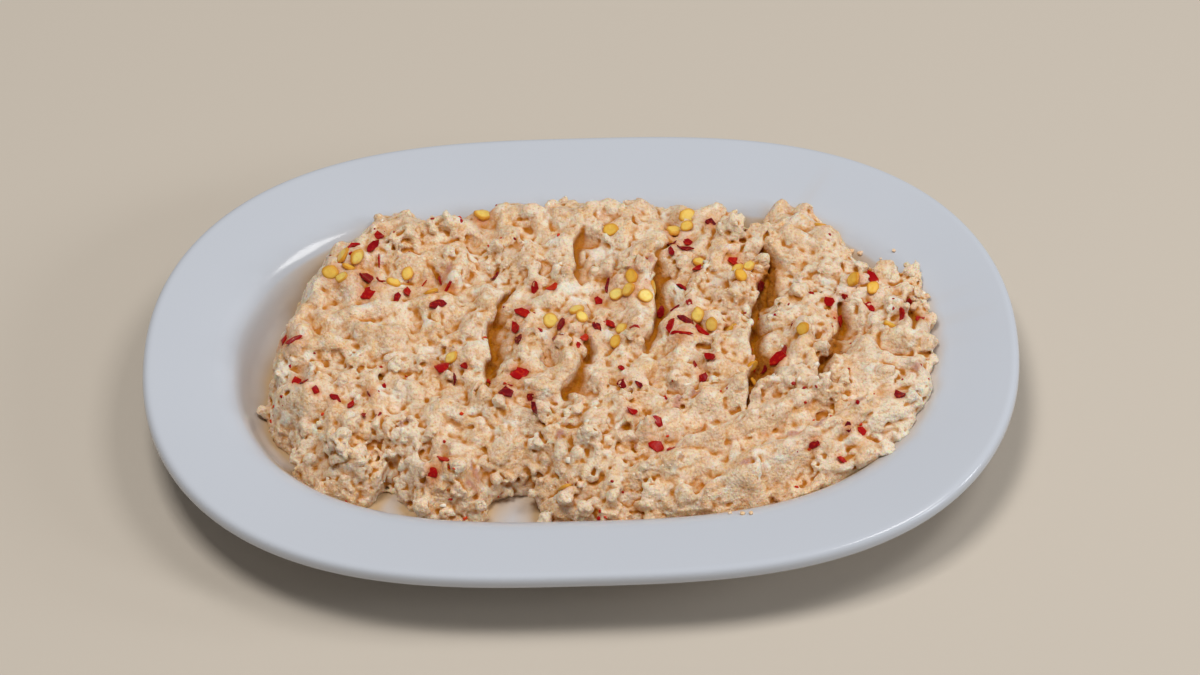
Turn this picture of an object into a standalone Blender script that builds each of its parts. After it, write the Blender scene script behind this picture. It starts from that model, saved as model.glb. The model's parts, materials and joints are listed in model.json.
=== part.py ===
"""A white oval platter with a wide rim, and the spicy cheese dip that is spread in its well.

The platter stands on its foot ring at z = 0, with its long axis along X and its middle at the origin.
The dip is one soft mass: a lumpy, spooned top with slits pressed into it, a slope towards the front and
curds along its edge, with chilli flakes and chilli seeds fused on.
"""
import math
import random

import bmesh
import bpy
import numpy as np
from mathutils import Matrix, Vector, noise
from mathutils.bvhtree import BVHTree

MM = 0.001
WELD = 0.001 * MM

# Platter
PLATE_LENGTH = 240 * MM
PLATE_WIDTH = 165 * MM
PLATE_HEIGHT = 23.4 * MM  # to the lip's corner, before it is rounded
LENGTH_POWER = 2.97  # fuller than an ellipse along the length, so the long sides run nearly straight
WIDTH_POWER = 2.15
RIM_WIDTH = 24.5 * MM
RIM_DROP = 4.1 * MM  # from the lip's top down to the well's edge
LIP_THICKNESS = 4.8 * MM
LIP_ROUND = 2.3 * MM
WELL_EDGE_ROUND = 5 * MM
WELL_WALL_RUN = 6 * MM
WELL_FOOT_ROUND = 8 * MM
FLOOR_HEIGHT = 6.4 * MM
BODY_THICKNESS = 4.4 * MM
FOOT_INSET = 38 * MM
FOOT_WIDTH = 4.5 * MM
FOOT_DEPTH = 2 * MM
FLOOR_INSET = 50 * MM  # where the flat middle of floor and base is closed by one face
PLATE_SEGMENTS = 70
ROUND_STEPS = 3

# Dip
REST_GAP = 0.45 * MM
DIP_TOP = 23.8 * MM
SIDE_SLOPE = 7 * MM
FRONT_SLOPE = 20 * MM
FRONT_STARTS = -8 * MM
FRONT_FULL = -34 * MM
CELL = 3.3 * MM
OUTLINE_STEPS = 2

# The dip's edge seen from above, anticlockwise from the right end, and the height of the top there, in
# millimetres. It climbs onto the rim at the far corners and at the right end.
DIP_OUTLINE = (
    (96, -13, 19), (97.5, -2, 20), (97.5, 8, 21), (96, 17, 21), (91, 27, 21), (83, 30, 19), (76, 37, 19),
    (71, 46, 20), (62, 53, 21), (54, 53, 20), (49, 44, 13), (43, 51, 19), (34, 55, 20), (18, 57, 20),
    (2, 57.5, 21), (-14, 57, 20), (-30, 55, 20), (-41, 52, 20), (-47, 55, 21), (-55, 54, 21), (-63, 48, 19),
    (-72, 40, 17), (-78, 30, 14), (-82, 18, 12), (-86, 5, 11), (-86, -10, 11), (-84, -19, 11), (-77, -26, 10),
    (-80, -33, 10), (-71, -41, 10), (-60, -46, 10), (-50, -45, 10), (-47, -36, 11), (-43, -46, 10),
    (-34, -52, 10), (-22, -52, 10), (-13, -44, 10), (-8, -52, 11), (8, -55, 12), (26, -55, 13),
    (44, -53, 14), (60, -49, 15), (75, -42, 16), (86, -33, 17), (93, -23, 18),
)

# Slits that a spoon's edge left in the top: far end, near end, width and depth, in millimetres.
SLITS = (
    ((-19, 26), (-27, -20), 3.6, 8),
    ((1, 44), (2, 22), 4.4, 7),
    ((3, 4), (-3, -21), 3.6, 8),
    ((25, 41), (20, -3), 3.8, 8),
    ((54, 40), (46, -25), 4.4, 10),
    ((74, 17), (66, -18), 3.8, 8),
    ((92, 17), (91, 1), 2.8, 6),
)

# Low mounds and hollows of the spooned top: place, radius and height, in millimetres.
MOUNDS = (
    (-50, 44, 17, 2.0), (-60, 8, 24, 1.0), (-34, 24, 12, -1.3), (-8, 34, 14, 1.2), (8, 48, 10, 1.3),
    (-13, -2, 12, 1.2), (38, 22, 14, 1.0), (12, 14, 8, -0.8), (62, 38, 15, 1.6), (60, -4, 13, 1.0),
    (82, 2, 8, -1.6), (94, 8, 8, 1.5), (-40, -22, 14, -1.2), (4, -32, 16, 1.0), (32, -34, 14, -1.4),
    (66, -28, 18, 1.0), (-62, -34, 9, 1.5), (-30, -40, 10, 1.6),
)

# Lumps all over the top, coarse and fine: width and height
LUMPS = ((11 * MM, 1.8 * MM), (6 * MM, 2.4 * MM))

# Long strokes of the spoon across the front right
STROKE_HEIGHT = 1.1 * MM
STROKE_SPACING = 14.5 * MM
STROKE_SLANT = 0.55
STROKE_WANDER = 22 * MM

# Curds that stand out of the edge
CURD_SPACING = 14.5 * MM
CURD_RADIUS = 4.4 * MM
CURD_INWARD = 2.2 * MM

# The sprinkled chilli: place and spread of each patch in millimetres, and the seeds and flakes in it.
SPRINKLES = (
    (-71, 44, 3, 2, 0), (-70, 26, 4, 2, 0), (-64, 31, 3, 3, 0), (-59, 33, 7, 0, 5), (-52, 22, 6, 2, 5),
    (-80, 8, 4, 0, 2), (-75, -12, 4, 0, 3), (-66, -16, 4, 0, 2), (-57, -21, 4, 0, 3), (-40, 22, 6, 1, 3),
    (-26, 53, 3, 2, 0), (-23, 29, 0, 0, 1), (-34, -6, 5, 1, 3), (-10, 24, 5, 0, 2), (-16, 8, 5, 0, 4),
    (-3, 6, 6, 3, 4), (-17, -19, 8, 0, 5), (9, 45, 2, 1, 0), (6, 26, 4, 0, 2), (15, 22, 5, 5, 3),
    (11, 5, 5, 2, 3), (13, -12, 5, 0, 3), (31, 47, 4, 3, 1), (29, 33, 7, 1, 5), (27, 18, 4, 0, 4),
    (25, 4, 3, 0, 3), (35, 6, 5, 3, 1), (33, -8, 4, 0, 3), (45, 26, 4, 3, 2), (47, -9, 3, 2, 2),
    (54, -5, 4, 0, 4), (62, 0, 4, 1, 1), (68, 43, 2, 1, 0), (70, 14, 5, 0, 3), (80, 17, 5, 2, 2),
    (87, 7, 5, 1, 3), (91, -20, 3, 0, 1), (70, -34, 9, 0, 4), (24, -38, 12, 0, 4), (-5, -46, 1, 1, 0),
    (-40, -40, 5, 0, 2),
)
SPRINKLE_SPACING = 3.7 * MM
SPRINKLE_EDGE = 3.5 * MM
SPRINKLE_TRIES = 40
STEEPEST = 0.6  # the least upward share of the surface's normal where a seed or a flake stays
SEED_RADIUS = 2.0 * MM
SEED_FLATNESS = 0.5
FLAKE_LENGTH = 3.4 * MM
FLAKE_THICKNESS = 1.2 * MM
SINK = 0.1 * MM

# Colours as linear red, green and blue, with roughness
GLAZE = ((0.62, 0.64, 0.68), 0.12)
WHIPPED_CHEESE = ((0.74, 0.46, 0.28), 0.5)


def clear_scene():
    for thing in list(bpy.data.objects):
        bpy.data.objects.remove(thing, do_unlink=True)


def collection(name):
    made = bpy.data.collections.new(name)
    bpy.context.scene.collection.children.link(made)
    return made


def material(name, look):
    colour, roughness = look
    made = bpy.data.materials.new(name)
    made.use_nodes = True
    shader = made.node_tree.nodes["Principled BSDF"]
    shader.inputs["Base Color"].default_value = (*colour, 1)
    shader.inputs["Roughness"].default_value = roughness
    shader.inputs["Metallic"].default_value = 0
    return made


def object_from(bm, name, group, made_of=None):
    mesh = bpy.data.meshes.new(name)
    bm.to_mesh(mesh)
    bm.free()
    thing = bpy.data.objects.new(name, mesh)
    group.objects.link(thing)
    if made_of:
        mesh.materials.append(made_of)
    return thing


def main_body_only(mesh):
    """Drops every shell but the largest: loose scraps go, and hollows that a union sealed are filled."""
    bm = bmesh.new()
    bm.from_mesh(mesh)
    bmesh.ops.remove_doubles(bm, verts=bm.verts, dist=WELD)
    unseen = set(bm.faces)
    shells = []
    while unseen:
        shell = [unseen.pop()]
        for face in shell:
            linked = {other for edge in face.edges for other in edge.link_faces} & unseen
            unseen -= linked
            shell.extend(linked)
        shells.append(shell)
    largest = max(shells, key=len)
    scraps = [face for shell in shells if shell is not largest for face in shell]
    bmesh.ops.delete(bm, geom=scraps, context="FACES")
    bm.to_mesh(mesh)
    bm.free()


def combine(thing, operation, others, solver="EXACT"):
    """Applies one Boolean with a collection to thing, then removes what was in the collection."""
    modifier = thing.modifiers.new(operation.title(), "BOOLEAN")
    modifier.operation = operation
    modifier.solver = solver
    modifier.operand_type = "COLLECTION"
    modifier.collection = others
    graph = bpy.context.evaluated_depsgraph_get()
    result = bpy.data.meshes.new_from_object(thing.evaluated_get(graph))
    thing.modifiers.clear()
    thing.data = result
    main_body_only(result)
    for other in list(others.objects):
        bpy.data.objects.remove(other, do_unlink=True)
    bpy.data.collections.remove(others)


def smooth_step(share):
    share = np.clip(share, 0, 1)
    return share * share * (3 - 2 * share)


# Platter: one closed section, carried round an oval
def oval(angles, inset):
    """Points of the oval that lies this far inside the platter's outer edge."""
    across = np.cos(angles)
    along = np.sin(angles)
    x = (PLATE_LENGTH / 2 - inset) * np.sign(across) * abs(across) ** (2 / LENGTH_POWER)
    y = (PLATE_WIDTH / 2 - inset) * np.sign(along) * abs(along) ** (2 / WIDTH_POWER)
    return np.stack([x, y], axis=-1)


def even_angles(count):
    """Angles that space the points of the outer oval evenly along it."""
    fine = np.linspace(0, 2 * math.pi, 4001)
    points = oval(fine, 0)
    travelled = np.concatenate([[0], np.cumsum(np.linalg.norm(np.diff(points, axis=0), axis=1))])
    wanted = np.linspace(0, travelled[-1], count, endpoint=False)
    return np.interp(wanted, travelled, fine)


def rounded(corners):
    """The open line through corners of inset, height and radius, with each corner rounded."""
    line = []
    for index, (inset, height, radius) in enumerate(corners):
        here = Vector((inset, height))
        if not radius:
            line.append(here)
            continue
        before = Vector(corners[index - 1][:2]) - here
        after = Vector(corners[index + 1][:2]) - here
        reach = radius / math.tan(before.angle(after) / 2)
        start = here + before.normalized() * reach
        end = here + after.normalized() * reach
        for step in range(ROUND_STEPS + 1):
            share = step / ROUND_STEPS
            line.append(start.lerp(here, share).lerp(here.lerp(end, share), share))
    return line


def platter_section(grow=0.0):
    """The section from the middle of the floor, out over the lip and back under to the middle of the base.

    grow raises its upper side, which gives the space that the dip keeps clear.
    """
    edge_height = PLATE_HEIGHT - RIM_DROP
    wall_foot = RIM_WIDTH + WELL_WALL_RUN
    foot_outside = FOOT_INSET - FOOT_WIDTH
    shell_inset = RIM_WIDTH - BODY_THICKNESS / 2
    return rounded((
        (FLOOR_INSET, FLOOR_HEIGHT + grow, 0),
        (wall_foot + grow, FLOOR_HEIGHT + grow, WELL_FOOT_ROUND),
        (RIM_WIDTH + grow, edge_height + grow, WELL_EDGE_ROUND),
        (0, PLATE_HEIGHT + grow, LIP_ROUND),
        (0, PLATE_HEIGHT - LIP_THICKNESS, LIP_ROUND),
        (shell_inset, edge_height - BODY_THICKNESS, WELL_EDGE_ROUND),
        (foot_outside, FOOT_DEPTH, 0),
        (foot_outside, 0, 0),
        (FOOT_INSET, 0, 0),
        (FOOT_INSET + FOOT_DEPTH / 2, FOOT_DEPTH, 0),
        (FLOOR_INSET, FOOT_DEPTH, 0),
    ))


def loft_platter(section, segments):
    bm = bmesh.new()
    angles = even_angles(segments)
    rings = [[bm.verts.new((x, y, height)) for x, y in oval(angles, inset)] for inset, height in section]
    for inner, outer in zip(rings, rings[1:]):
        for k in range(segments):
            after = (k + 1) % segments
            bm.faces.new((inner[k], outer[k], outer[after], inner[after]))
    bm.faces.new(rings[0])
    bm.faces.new(list(reversed(rings[-1])))
    bmesh.ops.recalc_face_normals(bm, faces=bm.faces)
    return bm


def make_platter(group):
    solid = loft_platter(platter_section(), PLATE_SEGMENTS)
    platter = object_from(solid, "oval_platter", group, material("Glazed porcelain", GLAZE))
    platter.data.shade_smooth()
    platter.data.set_sharp_from_angle(angle=math.radians(40))


# Dip: a block with a modelled top, trimmed to its outline, to the platter and by the slits
def dip_outline():
    """The outline as a dense closed line of x, y and height: a Catmull-Rom curve through its points."""
    points = [Vector(point) * MM for point in DIP_OUTLINE]
    count = len(points)
    line = []
    for k in range(count):
        before, start, end, after = (points[(k + shift) % count] for shift in (-1, 0, 1, 2))
        for step in range(OUTLINE_STEPS):
            t = step / OUTLINE_STEPS
            bend = (2 * before - 5 * start + 4 * end - after) * t ** 2
            twist = (3 * start - before - 3 * end + after) * t ** 3
            line.append(0.5 * (2 * start + (end - before) * t + bend + twist))
    return np.array(line)


def edge_distance(places, line):
    """How far each place lies inside the outline (negative outside it), and the edge's height near it."""
    start, end = line, np.roll(line, -1, axis=0)
    along = (end - start)[:, :2]
    offset = places[:, None, :] - start[None, :, :2]
    share = np.clip((offset * along).sum(-1) / (along ** 2).sum(-1), 0, 1)
    away = np.linalg.norm(offset - share[..., None] * along, axis=-1)
    nearest = away.argmin(axis=1)
    rows = np.arange(len(places))
    edge_share = share[rows, nearest]
    edge_height = start[nearest, 2] * (1 - edge_share) + end[nearest, 2] * edge_share
    spans = (start[:, 1] > places[:, None, 1]) != (end[:, 1] > places[:, None, 1])
    rise = np.where(abs(along[:, 1]) < WELD, WELD, along[:, 1])
    crossing = start[:, 0] + (places[:, None, 1] - start[:, 1]) / rise * along[:, 0]
    inside = (spans & (places[:, None, 0] < crossing)).sum(axis=1) % 2 == 1
    return np.where(inside, 1, -1) * away[rows, nearest], edge_height


def spooned(x, y):
    """The lumps and the long strokes that the spoon left, at one place."""
    lumps = 0.0
    for width, height in LUMPS:
        lumps += height * noise.noise(Vector((x / width, y / width, width / MM)))
    wander = 1.5 * noise.noise(Vector((x, y, 0)) / STROKE_WANDER)
    stroke = STROKE_HEIGHT * math.sin((y - STROKE_SLANT * x) * 2 * math.pi / STROKE_SPACING + wander)
    front_right = smooth_step((x + 5 * MM) / (30 * MM)) * smooth_step((-10 * MM - y) / (12 * MM))
    return lumps + stroke * front_right


def top_heights(places, line):
    """The height of the dip's top over each place."""
    distance, edge_height = edge_distance(places, line)
    x, y = places[:, 0], places[:, 1]
    front = smooth_step((FRONT_STARTS - y) / (FRONT_STARTS - FRONT_FULL))
    slope = SIDE_SLOPE + (FRONT_SLOPE - SIDE_SLOPE) * front
    share = np.clip(distance / slope, 0, 1)
    shoulder = np.sin(share * math.pi / 2) ** 0.8
    height = edge_height + (DIP_TOP - edge_height) * shoulder
    for mound_x, mound_y, radius, rise in MOUNDS:
        away = ((x - mound_x * MM) ** 2 + (y - mound_y * MM) ** 2) / (radius * MM) ** 2
        height += rise * MM * np.exp(-away)
    return height + np.array([spooned(*place) for place in places])


def dip_block(line, group):
    """A slab over the whole well, whose top is the spooned surface."""
    margin = 2 * CELL
    low = line[:, :2].min(axis=0) - margin
    high = line[:, :2].max(axis=0) + margin
    columns, rows = (int(count) for count in np.ceil((high - low) / CELL))
    bm = bmesh.new()
    bmesh.ops.create_grid(bm, x_segments=columns, y_segments=rows, size=0.5)
    bmesh.ops.scale(bm, vec=(*(high - low), 1), verts=bm.verts)
    bmesh.ops.translate(bm, vec=(*(low + high) / 2, 0), verts=bm.verts)
    places = np.array([vert.co.xy for vert in bm.verts])
    for vert, height in zip(bm.verts, top_heights(places, line)):
        vert.co.z = height
    border = [edge for edge in bm.edges if edge.is_boundary]
    skirt = bmesh.ops.extrude_edge_only(bm, edges=border)["geom"]
    for item in skirt:
        if isinstance(item, bmesh.types.BMVert):
            item.co.z = FOOT_DEPTH
    bmesh.ops.contextual_create(bm, geom=[item for item in skirt if isinstance(item, bmesh.types.BMEdge)])
    bmesh.ops.recalc_face_normals(bm, faces=bm.faces)
    return object_from(bm, "cheese_dip", group, material("Whipped spicy cheese", WHIPPED_CHEESE))


def outline_prism(line, group):
    """The outline as an upright prism, taller than the dip."""
    bm = bmesh.new()
    base = bm.faces.new([bm.verts.new((x, y, 0)) for x, y, _ in line])
    raised = bmesh.ops.extrude_face_region(bm, geom=[base])["geom"]
    raised = [item for item in raised if isinstance(item, bmesh.types.BMVert)]
    bmesh.ops.translate(bm, vec=(0, 0, 2 * DIP_TOP), verts=raised)
    bmesh.ops.recalc_face_normals(bm, faces=bm.faces)
    object_from(bm, "outline_prism", group)


def curds(line, group):
    """Rough balls along the edge, that break up its side."""
    draw = random.Random(3)
    closed = np.vstack([line, line[:1]])
    travelled = np.concatenate([[0], np.cumsum(np.linalg.norm(np.diff(closed, axis=0), axis=1))])
    for number in range(int(travelled[-1] / CURD_SPACING)):
        distance = (number + draw.uniform(-0.3, 0.3)) * CURD_SPACING
        x, y, edge_height = (np.interp(distance, travelled, closed[:, axis]) for axis in range(3))
        inward = Vector((-x, -y, 0)).normalized() * CURD_INWARD
        radius = CURD_RADIUS * draw.uniform(0.7, 1.2)
        height = edge_height - radius * draw.uniform(0.0, 0.7)
        bm = bmesh.new()
        bmesh.ops.create_icosphere(bm, subdivisions=1, radius=radius)
        for vert in bm.verts:
            vert.co *= 1 + 0.4 * noise.noise(vert.co / (3 * MM) + Vector((number, 0, 0)))
        bmesh.ops.translate(bm, vec=Vector((x, y, height)) + inward, verts=bm.verts)
        object_from(bm, f"curd_{number}", group)


def slit_cutters(group):
    """A thin lens for each slit, standing half in the top."""
    for number, (far, near, width, depth) in enumerate(SLITS):
        far, near = Vector(far) * MM, Vector(near) * MM
        run = far - near
        bm = bmesh.new()
        bmesh.ops.create_uvsphere(bm, u_segments=12, v_segments=6, radius=1)
        for vert in bm.verts:
            vert.co.y += 0.5 * noise.noise(Vector((2.5 * vert.co.x, 0, number)))
        bmesh.ops.scale(bm, vec=(run.length / 2, width * MM / 2, depth * MM), verts=bm.verts)
        turn = Matrix.Rotation(math.atan2(run.y, run.x), 4, "Z")
        middle = Matrix.Translation((*(far + near) / 2, DIP_TOP))
        bmesh.ops.transform(bm, matrix=middle @ turn, verts=bm.verts)
        object_from(bm, f"slit_{number}", group)


def seed_shape(draw):
    """A round flat chilli seed."""
    bm = bmesh.new()
    bmesh.ops.create_uvsphere(bm, u_segments=7, v_segments=3, radius=SEED_RADIUS)
    wide = draw.uniform(0.85, 1.15)
    bmesh.ops.scale(bm, vec=(wide, 0.9 * wide, SEED_FLATNESS), verts=bm.verts)
    return bm


def flake_shape(draw):
    """An angular chip of dried chilli."""
    bm = bmesh.new()
    bmesh.ops.create_cone(
        bm, cap_ends=True, segments=draw.choice((4, 5)), radius1=0.5, radius2=0.4, depth=FLAKE_THICKNESS,
    )
    length = FLAKE_LENGTH * draw.uniform(0.6, 1.3)
    bmesh.ops.scale(bm, vec=(length, length * draw.uniform(0.45, 0.85), 1), verts=bm.verts)
    return bm


def sprinkle_places(line):
    """Where each seed and flake falls: its kind, its place and its own random draw."""
    taken = []
    for number, (x, y, spread, seeds, flakes) in enumerate(SPRINKLES):
        for kind in ["seed"] * seeds + ["flake"] * flakes:
            draw = random.Random(100 * number + len(taken))
            for _ in range(SPRINKLE_TRIES):
                place = Vector((draw.gauss(x, spread / 2), draw.gauss(y, spread / 2))) * MM
                inside = edge_distance(np.array([place]), line)[0][0] > SPRINKLE_EDGE
                if inside and all((place - other[1]).length > SPRINKLE_SPACING for other in taken):
                    taken.append((kind, place, draw))
                    break
    return taken


def sprinkle(dip, line, group):
    """Drops each seed and flake straight down onto the dip and sinks it a little."""
    tree = BVHTree.FromObject(dip, bpy.context.evaluated_depsgraph_get())
    for number, (kind, place, draw) in enumerate(sprinkle_places(line)):
        hit, normal, _, _ = tree.ray_cast(Vector((*place, 2 * DIP_TOP)), Vector((0, 0, -1)))
        if not hit or normal.z < STEEPEST:
            continue
        bm = seed_shape(draw) if kind == "seed" else flake_shape(draw)
        turn = Matrix.Rotation(draw.uniform(0, math.pi), 4, "Z")
        tilt = normal.to_track_quat("Z", "Y").to_matrix().to_4x4()
        seat = Matrix.Translation(hit - normal * SINK)
        bmesh.ops.transform(bm, matrix=seat @ tilt @ turn, verts=bm.verts)
        object_from(bm, f"{kind}_{number}", group)


def make_dip(group):
    line = dip_outline()
    dip = dip_block(line, group)
    trimming = collection("Outline")
    outline_prism(line, trimming)
    combine(dip, "INTERSECT", trimming)
    edge = collection("Curds")
    curds(line, edge)
    combine(dip, "UNION", edge)
    cutting = collection("Cutters")
    slit_cutters(cutting)
    well = loft_platter(platter_section(grow=REST_GAP), PLATE_SEGMENTS // 2)
    object_from(well, "well_cutter", cutting)
    combine(dip, "DIFFERENCE", cutting)
    topping = collection("Sprinkles")
    sprinkle(dip, line, topping)
    combine(dip, "UNION", topping, solver="MANIFOLD")


def main():
    clear_scene()
    group = collection("Spicy cheese dip on an oval platter")
    make_platter(group)
    make_dip(group)


main()
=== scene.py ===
"""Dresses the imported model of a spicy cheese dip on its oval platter, and sets up the studio it is shown in.

The dip is grown as a solid on a fine grid: its spooned form is torn into curds of three sizes, then lumps are
pressed onto it and pits into it. Its surface is read off as a mesh, and loose grains, white curds, chilli
seeds, flakes and specks are set on that.
"""

import itertools
import json
import math
import random

import bmesh
import bpy
import numpy as np
from mathutils import Euler, Matrix, Vector, noise
from mathutils.bvhtree import BVHTree

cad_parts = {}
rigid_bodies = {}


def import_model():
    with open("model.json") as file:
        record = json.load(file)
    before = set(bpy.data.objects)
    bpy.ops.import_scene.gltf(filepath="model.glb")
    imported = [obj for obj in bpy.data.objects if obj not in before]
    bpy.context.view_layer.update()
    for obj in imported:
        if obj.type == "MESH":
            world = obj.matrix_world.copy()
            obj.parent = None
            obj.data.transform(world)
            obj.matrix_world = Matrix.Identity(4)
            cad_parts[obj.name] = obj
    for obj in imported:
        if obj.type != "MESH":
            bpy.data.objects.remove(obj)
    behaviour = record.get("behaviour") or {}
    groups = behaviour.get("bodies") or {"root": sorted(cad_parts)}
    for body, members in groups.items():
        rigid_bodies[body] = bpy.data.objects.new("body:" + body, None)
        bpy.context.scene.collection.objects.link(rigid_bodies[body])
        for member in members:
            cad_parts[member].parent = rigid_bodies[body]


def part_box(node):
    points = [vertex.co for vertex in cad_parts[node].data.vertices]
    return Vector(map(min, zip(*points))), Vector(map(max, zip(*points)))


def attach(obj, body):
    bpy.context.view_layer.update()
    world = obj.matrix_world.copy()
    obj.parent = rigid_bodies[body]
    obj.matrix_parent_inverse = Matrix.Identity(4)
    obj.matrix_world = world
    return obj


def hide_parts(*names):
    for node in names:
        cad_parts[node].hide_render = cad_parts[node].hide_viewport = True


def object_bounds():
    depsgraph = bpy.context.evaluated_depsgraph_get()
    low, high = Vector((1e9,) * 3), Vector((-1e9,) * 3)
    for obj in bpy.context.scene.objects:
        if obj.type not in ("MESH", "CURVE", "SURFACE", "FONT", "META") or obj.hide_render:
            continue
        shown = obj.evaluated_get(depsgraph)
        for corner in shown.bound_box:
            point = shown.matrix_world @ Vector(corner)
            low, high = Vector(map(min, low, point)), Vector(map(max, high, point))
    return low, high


bl_info = {
    "name": "Spicy cheese dip",
    "version": (1, 0, 0),
    "blender": (4, 5, 0),
    "location": "3D View > Sidebar > Cheese dip",
    "description": "Makes an oval platter of spicy cheese dip with its chilli seeds and flakes",
    "category": "Object",
}

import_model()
cad_low, cad_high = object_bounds()

MM = 0.001
PLATTER_NODE = "oval_platter"
DIP_NODE = "cheese_dip"
platter_low, platter_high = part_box(PLATTER_NODE)

# Platter: what its section is made of, beside the sizes in its settings
LENGTH_POWER = 2.97
WIDTH_POWER = 2.15
LIP_THICKNESS = 4.8 * MM
LIP_ROUND = 2.3 * MM
WELL_EDGE_ROUND = 11 * MM
WELL_WALL_RUN = 6 * MM
WELL_FOOT_ROUND = 8 * MM
FLOOR_HEIGHT = 6.4 * MM
BODY_THICKNESS = 4.4 * MM
FOOT_INSET = 38 * MM
FOOT_WIDTH = 4.5 * MM
FOOT_DEPTH = 2 * MM
FLOOR_INSET = 50 * MM
LIP_CORNER = 0.45 * MM  # how far the lip's corner stands above the lip, before it is rounded
FOOT_ROUND = 0.6 * MM
GLAZE_STOPS = 0.9 * MM
BARE_BELOW = 0.5 * MM
# Below this height the glaze beside the dip gets painted shade, for the dip's shadow and warm reflection
WELL_SHADE_LEVEL = 17 * MM
PLATTER_SEGMENTS = 320
ROUND_STEPS = 10

# The dip's edge seen from above, anticlockwise from the right end, and the height of the top there, in
# millimetres. It is drawn through the middle of the ragged edge, so it follows the solid's closely.
DIP_OUTLINE = (
    (96, -13, 19), (97.5, -2, 20), (97.5, 8, 21), (96, 17, 21), (91, 27, 21), (83, 30, 19), (76, 37, 19),
    (71, 46, 20), (62, 53, 21), (54, 54, 20), (49.5, 47.5, 16), (45.5, 53, 19), (34, 55, 20), (18, 57, 20),
    (2, 57.5, 21), (-14, 57, 20), (-30, 55, 20), (-41, 52, 20), (-47, 55, 21), (-55, 54, 21), (-63, 48, 19),
    (-72, 40, 17), (-78, 30, 14), (-82, 18, 12), (-86, 5, 11), (-86, -10, 11), (-84, -19, 11), (-77, -26, 10),
    (-80, -33, 10), (-71, -41, 10), (-63, -44, 10), (-57, -42, 10), (-53, -35, 10), (-49, -42, 10),
    (-43, -48, 10), (-34, -50, 10), (-27, -48, 10), (-24, -42, 10), (-15, -41, 10), (-12, -49, 11),
    (-3, -54, 12), (10, -55, 12), (26, -55, 13), (44, -53, 14), (60, -49, 15), (75, -42, 16), (86, -33, 17),
    (93, -23, 18),
)
OUTLINE_STEPS = 2
GRID_MARGIN = 6 * MM
HEADROOM = 8 * MM
PRESSED_IN = 0.1 * MM  # how far the dip presses into the platter, so that no gap shows under its edge
MOST_TRIANGLES = 194000

# How the top slopes to its edge at the sides and at the front, and from where to where the front begins
SIDE_SLOPE = 7 * MM
FRONT_SLOPE = 20 * MM
FRONT_STARTS = -8 * MM
FRONT_FULL = -34 * MM

# The uneven top: width and height of its lumps, and of its mounds with creases between them
LUMPS = ((11 * MM, 2.6 * MM), (6 * MM, 2.2 * MM))
CURD_MOUNDS = ((8.5 * MM, 4.5 * MM), (4.6 * MM, 1.4 * MM))
CREASE_LEVEL = 0.15
STROKE_HEIGHT = 2.1 * MM
STROKE_SPACING = 14.5 * MM
STROKE_SLANT = 0.55
STROKE_WANDER = 22 * MM

# Sizes of the soft noise: rough patches, peppered patches, turns of the curds, bends of their edges, and
# raggedness, of the sides and at its finest
PATCH_SIZE = 9 * MM
PEPPER_SIZE = 14 * MM
DRIFT_SIZE = 16 * MM
WARP_SIZE = 1.9 * MM
SIDE_RAGGED_SIZE = 5.5 * MM
SIDE_RAGGED_HEIGHT = 1.1 * MM
RAGGED_SIZE = 1.2 * MM

# How torn the surface is: everywhere, by patches, at the edge, at the front, and less in the long strokes
TORN_EVERYWHERE = 0.40
TORN_PATCHES = 0.75
TORN_EDGE = 0.35
TORN_FRONT = 0.35
TORN_STROKES = -0.22

# How the surface is torn into curds, in millimetres: their size, how far they stand out, the depth and width
# of the cracks between them, and how far below the surface they reach. Then the share of them that is white,
# and how much of all this is left where the cheese is smooth.
TEARS = (
    (6.5, 1.00, 1.7, 1.2, 2.8, 0.00, 0.25),
    (3.2, 0.66, 1.1, 0.8, 1.9, 0.06, 0.35),
    (1.5, 0.48, 0.5, 0.6, 1.3, 0.07, 0.75),
)
MOST_TORN = 1.1
FINEST_RELIEF = 0.12 * MM
LUMP_RADIUS = (0.9 * MM, 2.2 * MM)
PIT_RADIUS = (0.6 * MM, 1.2 * MM)
CURD_TILT = 0.7

# Low mounds and hollows of the spooned top: place, radius and height, in millimetres.
MOUNDS = (
    (-50, 44, 17, 2.0), (-60, 8, 24, 1.0), (-34, 24, 12, -1.3), (-8, 34, 14, 1.2), (8, 48, 10, 1.3),
    (-13, -2, 12, 1.2), (38, 22, 14, 1.0), (12, 14, 8, -0.8), (62, 38, 15, 1.6), (60, -4, 13, 1.0),
    (82, 2, 8, -1.6), (94, 8, 8, 1.5), (-40, -22, 14, -1.2), (4, -32, 16, 1.0), (32, -34, 14, -1.4),
    (66, -28, 18, 1.0), (-62, -34, 9, 1.5), (-30, -40, 10, 1.6),
)

# Slits that a spoon's edge left in the top: far end, near end, width and depth, in millimetres. They open
# wider than that at the top, and curds fill part of their depth.
SLIT_OPENS = 1.4
SLIT_FILLS = 0.55
SLIT_WANDERS = ((1.1, 5, 2), (0.5, 1.9, 0))  # swing and length in millimetres, shift between the slits
STEEP_WALL = (-0.34, -0.06)  # place at the bottom and lean, in widths of the slit
SLOPED_WALL = (-0.14, 0.84)
SLITS = (
    ((-19, 26), (-27, -20), 3.6, 8),
    ((1, 44), (2, 22), 4.4, 7),
    ((3, 4), (-3, -21), 3.6, 8),
    ((25, 41), (20, -3), 3.8, 8),
    ((54, 40), (46, -25), 4.4, 10),
    ((74, 17), (66, -18), 3.8, 8),
    ((92, 17), (91, 1), 2.8, 6),
)

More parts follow.
